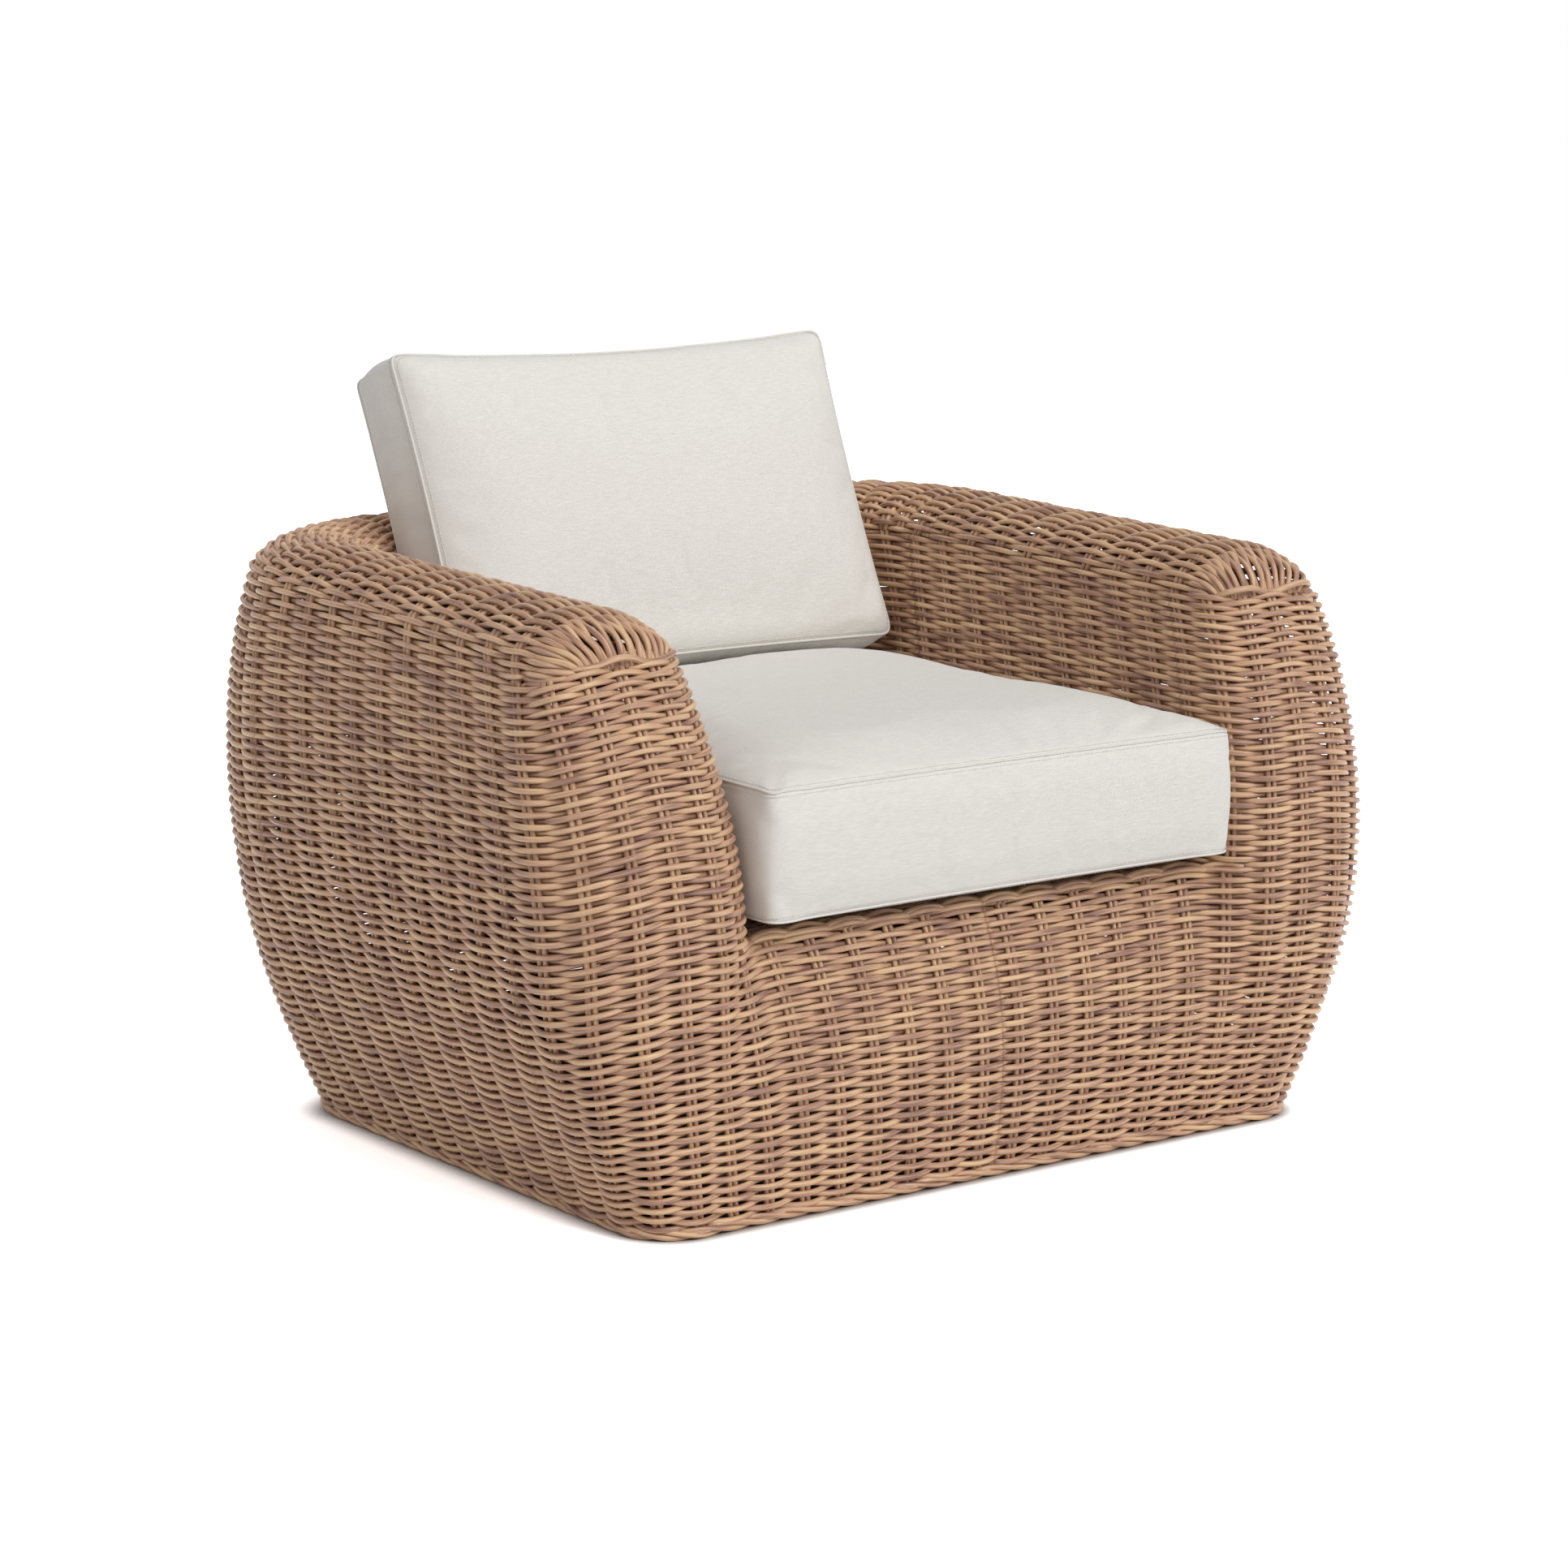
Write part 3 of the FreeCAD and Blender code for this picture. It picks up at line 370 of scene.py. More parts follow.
def stake_lines(grid, columns):
    """Centres and normals of the stake pairs that run up the grid at the given columns."""
    s = settings()
    normals = grid_normals(grid)
    along = unit(np.gradient(grid, axis=1))
    lines = []
    pick = np.unique(np.append(np.arange(0, grid.shape[0], 2), grid.shape[0] - 1))
    for side in (-1, 1):
        centre = grid - normals * s.stake_depth + along * side * PAIR_GAP * s.strand
        line = centre[pick][:, columns]
        # half a pitch on at both ends, to meet the stakes of the next piece
        ends = (line[[0, -1]] + 0.5 * (centre[[0, -1]] - centre[[1, -2]])[:, columns])
        lines.append(np.swapaxes(np.concatenate([ends[:1], line[1:-1], ends[1:]]), 0, 1))
    return np.concatenate(lines), np.concatenate([np.swapaxes(normals[pick][:, columns], 0, 1)] * 2)


def on_stakes(stake):
    """Columns that stand on a stake."""
    return np.flatnonzero(np.isclose(stake, np.round(stake)))


def strand_seeds(count, seed):
    """A random number for each strand, which its colour is drawn from."""
    return np.random.default_rng(seed).uniform(0, 90, count).round(3)


def column_at(y, level):
    """Column of a line of depths that comes nearest to a level of depth."""
    return int(np.argmin(np.abs(y - level)))


class Layout:
    """The woven surfaces of the right half, row by row and stake by stake.

    Rows lie a pitch apart up the outer wall, so more of them reach the crown at the side, where the wall is longer.
    Stakes are numbered from the gap at the back's middle: -0.5 there, 25 at the middle of the nose.
    """

    outer_stakes, inner_stakes, apron_stakes = 25.5, 20.5, 8.5

    def __init__(self):
        s = settings()
        self.detail, self.rows = s.detail, s.rows
        outer, inner, apron = (
            wall(path, low, high, lambda z: stake_places(stakes, self.detail, z * pull, nose))
            for path, low, high, stakes, pull, nose in (
                (outer_path, WEAVE_FOOT, BORDER_LEVEL, self.outer_stakes, 1, 1),
                (inner_path, SEAT_LEVEL, BORDER_LEVEL, self.inner_stakes, 1, 0),
                (apron_path, WEAVE_FOOT, SEAT_LEVEL, self.apron_stakes, 0, 0)))
        lengths = running_length(outer)[:, -1:]
        self.pitch = lengths[-1, 0] / self.rows
        self.top_share = self.rows * self.pitch / lengths
        self.seat_row = running_length(apron[:1])[0, -1] / self.pitch
        self.low_rows = int(self.seat_row)
        number = np.arange(self.rows) + 0.5
        high = number[self.low_rows:]
        self.outer = rows_up(outer, number / self.rows * self.top_share)
        self.inner = rows_up(inner, np.clip((high - self.seat_row) / (self.rows - self.seat_row), 0.004, 1))
        self.apron = rows_up(apron, number[:self.low_rows] / self.seat_row)
        self.top = rows_up(outer, np.linspace(0, 1, 12) * (1 - self.top_share) + self.top_share)
        self.upper = np.concatenate([self.outer[self.low_rows:], self.inner[:, 1:]], axis=1)
        self.lower = np.concatenate([self.outer[:self.low_rows], self.apron[:, 1:]], axis=1)
        y = self.outer[self.rows // 2, :, 1] + MID_DEPTH
        self.back_cut = column_at(y, BACK_SPLIT)
        self.nose_cut = self.back_cut + column_at(y[self.back_cut:], NOSE_SPLIT)
        y = self.inner[len(high) // 2, :, 1] + MID_DEPTH
        self.inner_nose_cut, self.inner_back_cut = column_at(y, NOSE_SPLIT), column_at(y, INNER_BACK_SPLIT)


class Ring:
    """One half of the rows that run from the back's middle round the nose, woven.

    Above the seat they run on to the inner back's middle, below it to the apron's. The left half is the mirror
    image one row on, so that the weave runs through at the middle of the back and the apron.
    """

    def __init__(self, grid, first_row, sign, seed, arched=None):
        s = settings()
        self.grid, self.sign, self.seed = grid, sign, seed + 40 * (sign < 0)
        number = first_row + np.arange(len(grid)) + (sign < 0)
        self.centres, self.normals = weave_lines(grid, number[0], -0.5, s.detail, self.seed)
        self.stake = -0.5 + np.arange(grid.shape[1]) / s.detail
        if arched is not None:
            # the last rows under the seat arch up over the stakes
            row = np.arange(len(grid)) - len(grid) + ARCHED_ROWS + 1
            rise = np.clip(row / ARCHED_ROWS, 0, 1)[:, None] * np.clip((self.stake - arched) / ARCHED_STAKES, 0, 1)
            self.centres[..., 2] += ARCH * rise * woven_wave(self.stake[None], number[:, None])
        self.length = running_length(self.centres)
        self.seeds = strand_seeds(s.rows + 1, seed)[number - (sign < 0)]
        if sign < 0:
            # the left half takes the right half's strand on at both ends, with a splice behind a stake between
            splice = np.random.default_rng(seed).integers(3, 14, len(grid)) * 2 + 1 - number % 2
            on = self.stake[None] > splice[:, None]
            self.length = np.where(on, 2 * self.length[:, -1:] - self.length, -self.length)

    def lay(self, shell, first, last):
        """Adds the rows and stakes of the columns from first to last to a mesh."""
        s, part = settings(), slice(first, last + 1)
        shell.tubes(self.centres[:, part], self.normals[:, part], s.strand / 2, s.sides, self.seeds,
                    self.length[:, part], self.sign)
        columns = on_stakes(self.stake)
        columns = columns[(columns >= first) & (columns < last + (last == self.grid.shape[1] - 1))]
        if len(columns):
            lines, faces = stake_lines(self.grid, columns)
            shell.tubes(lines, faces, s.strand / 2, STAKE_SIDES, strand_seeds(len(lines), self.seed + first),
                        sign=self.sign)


# ---------------------------------------------------------------- crown and borders

NOSE_REACH = 49.5           # how far the crown's shoulder runs forward over the arm front
END_LEVEL = 546.0           # the crown's strands end here, behind the arm border
BORDER_OUT = 55.0           # the arm border's ends, along the front edge from its middle
BORDER_IN = 81.0
SHOULDER_STEPS = 20
FAN_UP, FAN_DOWN = 0.45, -0.78      # where the strands of the fan lie, in waves, the ones on top and the ones below
HOLD_END = 0.55             # share of the shoulder where the strands' wave has died away
DIVE_START, DIVE = 0.62, 7.5    # share where their ends begin to dive under the border, and how deep
BORDER_WAVE, BORDER_CLIMB = 0.85, 4.2   # swing of the arm border, in waves, and its rise over a stake in millimetres
ROPE_TURN, ROPE_RADIUS, ROPE_LEVEL, ROPE_STEP = 105, 2.8, 6.2, 3.6
ROLL_RADIUS, ROLL_ANGLES, ROLL_END = 6.0, (28.0, 72.0, 112.0), 318
DECK_FRONT, DECK_BACK, DECK_HALF, DECK_CORNER = -296.0, 277.0, 302.0, 80.0
DECK_PITCH, DECK_STAKE, DECK_DEPTH, DECK_WAVE = 6.4, 25, 5.9, 2.5
UP = np.array([0, 0, 1.0])


def plan_line(path, level, shares):
    """Points of a plan path at one level, at shares of its length, in the CAD frame."""
    z = np.array([float(level)])
    return place(resample(path(z), shares), z[:, None])[0]


def crown_sections(layout):
    """Outer edge of the crown behind its shoulder, a point for each column, and the inner edge across from it."""
    z = np.array([RAIL_LEVEL])
    a, f, b, _, rb = (float(v[0]) for v in outline(z))
    w, d, _, rbi = (float(v[0]) for v in inner_outline(z))
    outer = resample(outer_path(z), stake_places(layout.outer_stakes, layout.detail, z, 1))[0]
    nose = NOSE_REACH - f
    outer = outer[:int((outer[:, 1] > nose).sum())]
    x, y = outer.T
    turn = np.radians(np.clip(np.degrees(np.arctan2(x - (a - rb), y - (b - rb))), 0, 90))
    straight = (y - nose) * (d - rbi - nose) / (b - rb - nose) + nose
    on_back, on_side = x <= a - rb, y <= b - rb
    corner = (w - rbi + rbi * np.sin(turn), d - rbi + rbi * np.cos(turn))
    inner = np.stack([np.where(on_back, x * (w - rbi) / (a - rb), np.where(on_side, w, corner[0])),
                      np.where(on_back, d, np.where(on_side, straight, corner[1]))], axis=1)
    return outer, inner


def crown_grid(layout):
    """Strands (rows, columns, 3) over the crown from the back's middle to the shoulder.

    A section is the top of the outer wall and a half ellipse 42 mm high from the outer to the inner edge, cut into as
    many equal parts as there are strands.
    """
    outer, inner = crown_sections(layout)
    theta = np.linspace(0, math.pi, 49)
    plan = (outer + inner)[:, None] / 2 + (outer - inner)[:, None] / 2 * np.cos(theta)[:, None]
    over = place(plan, RAIL_LEVEL + CROWN_RISE * np.broadcast_to(np.sin(theta), plan.shape[:2]))
    foot = np.swapaxes(layout.top, 0, 1)[:len(outer)]
    rows = settings().crown_rows
    return rows_up(np.concatenate([foot, over[:, 1:]], axis=1), (np.arange(rows) + 0.5) / rows)


def shoulder_edge():
    """Front edge of an arm's crown at the end level, from the outer side round both corners to the inner side.

    Gives its places across and forward of the arm's middle, its outward normals and length, and the arm's middle,
    half width and front depth.
    """
    z = np.array([END_LEVEL])
    a, f, _, rf, _ = outline(z)
    w, _, ri, _ = inner_outline(z)
    half, reach = (a - w) / 2, f - float(outline(np.array([RAIL_LEVEL]))[1][0]) + NOSE_REACH
    edge = np.concatenate([point(half, 0), arc(half - rf, reach - rf, rf, 0, 90),
                           arc(ri - half, reach - ri, ri, 90, 180), point(-half, 0)], axis=1)
    line = resample(edge, np.linspace(0, 1, 241))[0]
    along = unit(np.gradient(line, axis=0))
    outward = np.stack([along[:, 1], -along[:, 0]], axis=1)
    return line, outward, running_length(edge)[0, -1], float((a + w)[0] / 2), float(half[0]), float(f[0])


def shoulder(section, section_normals):
    """The strands from the last section (rows, 3) forward over the shoulder, and their normals.

    In plan a strand mixes a straight run, P0 + (P1 - P0) sin f, with a run round the edge, E(s) - n(s) d cos f, the
    outer ones more of the second. Its height above the end level falls as cos f. The ends crowd at the outer corner.
    """
    line, outward, length, mid, half, front = shoulder_edge()
    ticks = np.linspace(0, 1, len(line))
    rows = len(section)
    y = section[:, 1] + MID_DEPTH
    level = section[:, 2] / (1 + RAIL_SLOPE * y / RAIL_LEVEL)
    start = np.stack([section[:, 0] - mid, 0 * y], axis=1)
    base = float(y.mean())
    across = 1 - 2 * (np.arange(rows) + 0.5) / rows
    crowd = np.sign(across) * (1 - (1 - np.abs(across)) ** np.where(across > 0, 1.5, 1.1))
    middle = float(np.interp(0, -line[:, 0], ticks))
    end = middle - crowd * np.where(across > 0, BORDER_OUT, BORDER_IN) / length
    turn = np.linspace(0, math.pi / 2, SHOULDER_STEPS + 1)[1:]
    sin, cos = np.sin(turn), np.cos(turn)[:, None]
    where = np.where(across > 0, 0, 1)[:, None] * (1 - sin) + end[:, None] * sin

    def read(values, spot):
        return np.stack([np.interp(spot, ticks, values[:, k]) for k in (0, 1)], axis=-1)

    depth = np.maximum(half - np.abs(start[:, 0]), 0)[:, None, None]
    around = read(line, where) - read(outward, where) * depth * cos
    straight = start[:, None] + (read(line, end)[:, None] - start[:, None]) * sin[:, None]
    side = (np.abs(start[:, 0]) / half).clip(0, 1)[:, None, None] ** 1.5
    plan = side * around + (1 - side) * straight
    scale = (base + front) / line[:, 1].max()
    height = END_LEVEL + (level - END_LEVEL)[:, None] * np.cos(turn)
    points = place(np.stack([mid + plan[..., 0], base - plan[..., 1] * scale], axis=-1), height)
    facing = side * read(outward, where) + (1 - side) * read(outward, end)[:, None]
    facing = np.stack([facing[..., 0], -facing[..., 1], 0.3 + 0 * facing[..., 0]], axis=-1)
    return points, unit(section_normals[:, None] * cos + unit(facing) * sin[:, None])


def crown_lines(layout, other):
    """Centres and normals of the crown's strands, with the woven grid. other shifts the weave by one row."""
    s = settings()
    grid = crown_grid(layout)
    rows, woven_columns = grid.shape[:2]
    grid_faces = grid_normals(grid)
    points, faces = shoulder(grid[:, -1], grid_faces[:, -1])
    centres, normals = np.concatenate([grid, points], axis=1), np.concatenate([grid_faces, faces], axis=1)
    columns = centres.shape[1]
    # every second strand ends under the others past the last stake, so that the rest fan out with gaps
    number = layout.rows + np.arange(rows)[:, None] + other
    wave = woven_wave(-0.5 + np.arange(columns)[None] / layout.detail, number)
    step = np.clip((np.arange(columns) - woven_columns + 1) / SHOULDER_STEPS, 0, 1)
    hold = 1 - np.clip(step / HOLD_END, 0, 1) ** 1.1
    over = np.cos(math.pi * (np.floor(-0.5 + (woven_columns - 1) / layout.detail) + number)) > 0
    fan = np.where(over, FAN_UP, FAN_DOWN)
    dive = smooth(np.clip((step - DIVE_START) / (1 - DIVE_START), 0, 1))
    uneven = drift(rows, columns // layout.detail + 2, layout.detail, 31 + other)[:, :columns] * (1 - dive)
    offset = s.crown_wave * (wave * hold + fan * (1 - hold)) + 0.25 * uneven - s.weave_depth
    centres = centres + normals * (offset * (1 - dive) - DIVE * dive)[..., None]
    return grid, centres + unit(np.gradient(centres, axis=0)) * (0.4 * uneven)[..., None], normals


def level_normals(line):
    """Level outward normals of a plan line that runs clockwise seen from above."""
    along = unit(np.gradient(line, axis=0))
    return np.stack([-along[:, 1], along[:, 0], 0 * along[:, 0]], axis=1)


def arm_border(layout, other):
    """Centre and normals of the bold strand across an arm front, where the crown's strands end behind it.

    It lies on the wall's outline just above the top row and swings out, and up, as it passes over each stake pair.
    """
    level, fine = np.array([BORDER_LEVEL + 2.5]), 16
    outer = plan_line(outer_path, level[0], stake_places(layout.outer_stakes, fine, level, 1)[0])
    inner = plan_line(inner_path, level[0], stake_places(layout.inner_stakes, fine, level, 0)[0])
    line = np.concatenate([outer, inner[1:]])
    length = running_length(line[None])[0]
    length = length - length[len(outer) - 1]
    keep = (length > -BORDER_OUT) & (length < BORDER_IN)
    normals = level_normals(line)[keep]
    tuck = np.exp(-((length + BORDER_OUT) / 6) ** 2) + 1.5 * np.exp(-((BORDER_IN - length) / 12) ** 2)
    wave = woven_wave(-0.5 + np.arange(len(line)) / fine, layout.rows + other)
    centre = line[keep] + normals * (0.8 + BORDER_WAVE * settings().wave_height * wave - 5 * tuck)[keep, None]
    centre[:, 2] += (BORDER_CLIMB * wave - 3 * tuck)[keep]
    return centre, normals


def foot_rope():
    """Three strands twisted into a rope round the foot, C + r (n cos a + up sin a), with a turn each 105 mm."""
    right = np.concatenate([plan_line(outer_path, ROPE_LEVEL, np.linspace(0, 1, 240)),
                            plan_line(apron_path, ROPE_LEVEL, np.linspace(0, 1, 90))[1:]])
    line = np.concatenate([right, mirrored(right, -1)[::-1][1:]])
    length = running_length(line[None])
    line = resample(line[None], np.linspace(0, 1, int(length[0, -1] / ROPE_STEP)))[0]
    normals = unit(level_normals(line))
    normals[[0, -1]] = (0, 1, 0)
    turns = round(length[0, -1] / ROPE_TURN)
    angle = 2 * math.pi * (turns * np.linspace(0, 1, len(line)) + np.arange(3)[:, None] / 3)
    centres = line + normals * (2.9 * np.cos(angle) - 1.4)[..., None] + UP * 3.2 * np.sin(angle)[..., None]
    return centres, np.broadcast_to(normals, centres.shape)


def apron_roll(layout, other):
    """Strands that roll the apron's top edge back over its stakes: C + r (up sin a - n (1 - cos a))."""
    s = settings()
    shares = np.linspace(0, 1, int(layout.apron_stakes * layout.detail) + 1)
    line = plan_line(apron_path, SEAT_LEVEL - 5.5, shares)
    stake = layout.outer_stakes - 0.5 + layout.apron_stakes * shares
    keep = line[:, 0] < ROLL_END
    level = unit(level_normals(line))[keep]
    angle = np.radians(ROLL_ANGLES)[:, None, None]
    normals = level * np.cos(angle) + UP * np.sin(angle)
    wave = woven_wave(stake[keep], layout.low_rows + np.arange(3)[:, None] + other)
    centres = line[keep] + ROLL_RADIUS * (UP * np.sin(angle) - level * (1 - np.cos(angle)))
    return centres + normals * (0.9 * s.wave_height * wave - 0.6 * s.weave_depth)[..., None], normals


def deck_lines():
    """Rows across the seat deck, waving over and under its stakes 25 mm apart, and the stakes along it."""
    def round_off(past):
        return np.sqrt(np.maximum(DECK_CORNER ** 2 - past ** 2, 0))

    rows = np.arange(DECK_FRONT + 3, DECK_BACK - 2, DECK_PITCH)
    reach = DECK_HALF - DECK_CORNER + round_off(np.maximum(rows - DECK_BACK + DECK_CORNER, 0))
    x = reach[:, None] * np.linspace(-1, 1, 73)
    wave = np.cos(math.pi * (x / DECK_STAKE + np.arange(len(rows))[:, None]))
    plan = np.stack([x, np.broadcast_to(rows[:, None], x.shape)], axis=-1)
    centres = place(plan, SEAT_LEVEL - DECK_DEPTH + DECK_WAVE * wave)
    stakes = np.arange(-11.5, 12) * DECK_STAKE
    past = np.abs(stakes) - DECK_HALF + DECK_CORNER
    end = np.where(past > 0, DECK_BACK - DECK_CORNER + round_off(past), DECK_BACK) - 3
    y = DECK_FRONT + 2 + (end - DECK_FRONT - 2)[:, None] * np.linspace(0, 1, 30)
    run = np.stack([np.broadcast_to(stakes[:, None], y.shape), y], axis=-1)
    return centres, place(run, np.full_like(y, SEAT_LEVEL - DECK_DEPTH))


# ---------------------------------------------------------------- cushions

# Sizes of the two boxed cushions, lying flat with the lower seam at height 0: half width, ends, rear corner radius,
# lower crown, boxing, upper crown, and how far the right, rear, left and front edges are drawn in.
SEAT_CUSHION = {"half": 288.0, "front": -358.0, "back": 256.0, "rear": 72.0, "low": 12.0, "box": 126.0, "high": 24.0,
                "draw": (3.0, 3.0, 3.0, 4.0)}
BACK_CUSHION = {"half": 279.0, "front": 0.0, "back": 355.0, "rear": 10.0, "low": 26.0, "box": 80.0, "high": 9.0,
                "draw": (5.0, 12.0, 5.0, 4.0)}
CROWN_IN = (0, 0.05, 0.12, 0.27, 0.45, 0.6, 1.0)    # a panel's profile: share of the way in, and share of its crown
CROWN_UP = (0, 0.36, 0.62, 0.86, 0.97, 1.0, 1.0)
CORNER = 10.0
BOXING_BULGE = 2.5
SEAT_FLOOR = 294.68         # lower seam of the seat cushion
BACK_FOOT = (153.2, 452.5)  # front lower seam of the back cushion: depth and level
BACK_LEAN = 67.0
VOXEL = 0.0065              # of the cloth's squares, in metres
CLOTH_FRAMES = 20
SEAM_HOLD = ((1.0, 0, 7), (0.6, 7, 12), (0.25, 12, 20))     # pin weight of the cloth from and to a distance of a seam
FOLD_RADIUS, FOLD_PITCH, STITCH_RADIUS = 1.25, 3.0, 0.42
STITCH_ROWS = ((4.5, 0.0), (0.0, 5.5))      # inset on the panel and drop down the boxing of each row
STITCH_ALONG, STITCH_UNDER = (-1.25, -0.9, 0.9, 1.25), (0.5, 0, 0, 0.5)
FLANK, FOLD_IN, FOLD_DEEP = 14, 22, 2.6     # width of a boxing's zone, and a corner fold's middle and depth


def pillow_rings(size, sink, part, bulge):
    """Outlines (rings, points, 2) of a cushion, each sunk in by sink and out by bulge, with rounded corners.

    The edges between the corners are parabolas, drawn in by the edge's draw x (1 - 0.8 part).
    """
    grow = bulge - sink
    x, f, b = size["half"] + grow, size["front"] - grow, size["back"] + grow
    room = 0.42 * np.minimum(x, (b - f) / 2)
    r, rear = np.minimum(CORNER + 0.2 * sink, room), np.minimum(size["rear"] + 0.04 * sink, room)
    corners = [arc(x - r, f + r, r, -90, 0, 9), arc(x - rear, b - rear, rear, 0, 90, 9),
               arc(rear - x, b - rear, rear, 90, 180, 9), arc(r - x, f + r, r, 180, 270, 9)]
    u = np.linspace(0, 1, 62)[1:-1]
    parts = []
    for n, turned in enumerate(corners):
        p, q = turned[:, -1:], corners[(n + 1) % 4][:, :1]
        along = unit(q - p)
        inward = np.stack([-along[..., 1], along[..., 0]], axis=-1)
        draw = size["draw"][n] * (1 - 0.8 * part)
        parts += [turned, p + (q - p) * u[:, None] + inward * (draw[:, None] * 4 * u * (1 - u))[..., None]]
    return np.concatenate(parts, axis=1)


def pillow_reach(size):
    """Way from a panel's edge to its middle."""
    return min(size["half"], (size["back"] - size["front"]) / 2)


def pillow_levels(size, slack):
    """Rings from the underside's middle up the boxing to the top's middle: sink, part, bulge and level of each."""
    way = np.concatenate([[0.004, 0.012, 0.025, 0.04], np.linspace(0.06, 0.9, 19)])
    up = np.interp(way, CROWN_IN, CROWN_UP)
    rise = np.linspace(0, 1, 15)
    sink = np.concatenate([way[::-1], 0 * rise, way]) * pillow_reach(size)
    part = np.concatenate([up[::-1], 0 * rise, up])
    bulge = np.concatenate([0 * way, BOXING_BULGE * np.sin(math.pi * rise), 0 * way])
    level = np.concatenate([-size["low"] * up[::-1], size["box"] * rise, size["box"] + (size["high"] - slack) * up])
    return sink, part, bulge, level


def pillow(size, slack):
    """Closed shell of a cushion lying flat, its two middles closed by fans."""
    sink, part, bulge, level = pillow_levels(size, slack)
    plan = pillow_rings(size, sink, part, bulge)
    rings, points = plan.shape[:2]
    verts = np.concatenate([plan, np.broadcast_to(level[:, None, None], (rings, points, 1))], axis=-1)
    k, top = np.arange(points), points * (rings - 1)
    after = (k + 1) % points
    fans = np.concatenate([np.stack([after, k, 0 * k + rings * points], -1),
                           np.stack([top + k, top + after, 0 * k + rings * points + 1], -1)])
    shell = Shell()
    shell.add(np.concatenate([verts.reshape(-1, 3), verts[[0, -1]].mean(axis=1)]), [quad_rings(rings, points), fans])
    return shell


def seam_ring(size, level, inset=0.0, drop=0.0, pitch=3.6):
    """Points along one of the cushion's seams, evenly spaced, inset on the panel or dropped down the boxing."""
    sink, reach = np.array([inset]), pillow_reach(size)
    plan = pillow_rings(size, sink, np.interp(sink / reach, CROWN_IN, CROWN_UP), np.array([0.0]))
    loop = np.concatenate([plan, plan[:, :1]], axis=1)
    count = int(running_length(loop)[0, -1] / pitch)
    line = resample(loop, np.linspace(0, 1, count + 1))[0]
    crown = size["high"] if level > 0 else -size["low"]
    z = level + crown * float(np.interp(inset / reach, CROWN_IN, CROWN_UP)) + (-drop if level > 0 else drop)
    return np.concatenate([line, np.full((len(line), 1), z)], axis=1)


def vectors(group, key):
    """Three numbers of each item of a mesh's vertices or normals."""
    flat = np.empty(3 * len(group), dtype=np.float32)
    group.foreach_get(key, flat)
    return flat.reshape(-1, 3).astype(float)


def coordinates(mesh):
    """Vertex places of a mesh in mm."""
    return vectors(mesh.vertices, "co") * 1000


def move_vertices(mesh, points):
    """Puts a mesh's vertices at points in mm."""
    mesh.vertices.foreach_set("co", (points / 1000).astype(np.float32).ravel())
    mesh.update()


def bake(obj):
    """The mesh that the object's modifiers make of it. They are taken off."""
    mesh = bpy.data.meshes.new_from_object(obj.evaluated_get(bpy.context.evaluated_depsgraph_get()))
    obj.modifiers.clear()
    return mesh


def nearest(points, cloud, chunk=400):
    """Index of the cloud's nearest point and its distance, for each point."""
    index, distance = [], []
    for start in range(0, len(points), chunk):
        gap = np.linalg.norm(points[start:start + chunk, None] - cloud[None], axis=2)
        index.append(gap.argmin(axis=1))
        distance.append(gap.min(axis=1))
    return np.concatenate(index), np.concatenate(distance)


def puffed(obj, size, low, high):
    """Swells a cushion by cloth simulation under pressure, its seams held, no point past low..high from its start.

    The mesh is remade in even squares of 6.5 mm first, so that the cloth can buckle in any direction.
    """
    scene = bpy.context.scene
    remesh = obj.modifiers.new("even squares", "REMESH")
    remesh.mode, remesh.voxel_size = "VOXEL", VOXEL
    obj.data = bake(obj)
    start = coordinates(obj.data)
    seams = np.concatenate([seam_ring(size, level, pitch=9.0) for level in (0.0, size["box"])])
    _, gap = nearest(start, seams)
    group = obj.vertex_groups.new(name="seams")
    for weight, near, far in SEAM_HOLD:
        group.add(np.flatnonzero((gap >= near) & (gap < far)).tolist(), weight, "REPLACE")
    cloth = obj.modifiers.new("cover", "CLOTH")
    fabric = cloth.settings
    fabric.quality, fabric.mass = 5, 0.25
    fabric.tension_stiffness = fabric.compression_stiffness = 18
    fabric.shear_stiffness, fabric.bending_stiffness = 6, 0.4
    fabric.use_pressure, fabric.uniform_pressure_force = True, 4
    fabric.shrink_min = -0.015
    fabric.vertex_group_mass = "seams"
    fabric.effector_weights.gravity = 0
    cloth.collision_settings.use_collision = False
    cloth.point_cache.frame_start, cloth.point_cache.frame_end = 1, CLOTH_FRAMES
    for number in range(1, CLOTH_FRAMES + 1):
        scene.frame_set(number)
    mesh = bake(obj)
    scene.frame_set(1)
    move_vertices(mesh, start + np.clip(coordinates(mesh) - start, low, high))
    obj.data = mesh
    soften = obj.modifiers.new("soften", "SMOOTH")
    soften.factor, soften.iterations = 0.5, 4
    obj.data = bake(obj)
    obj.vertex_groups.clear()


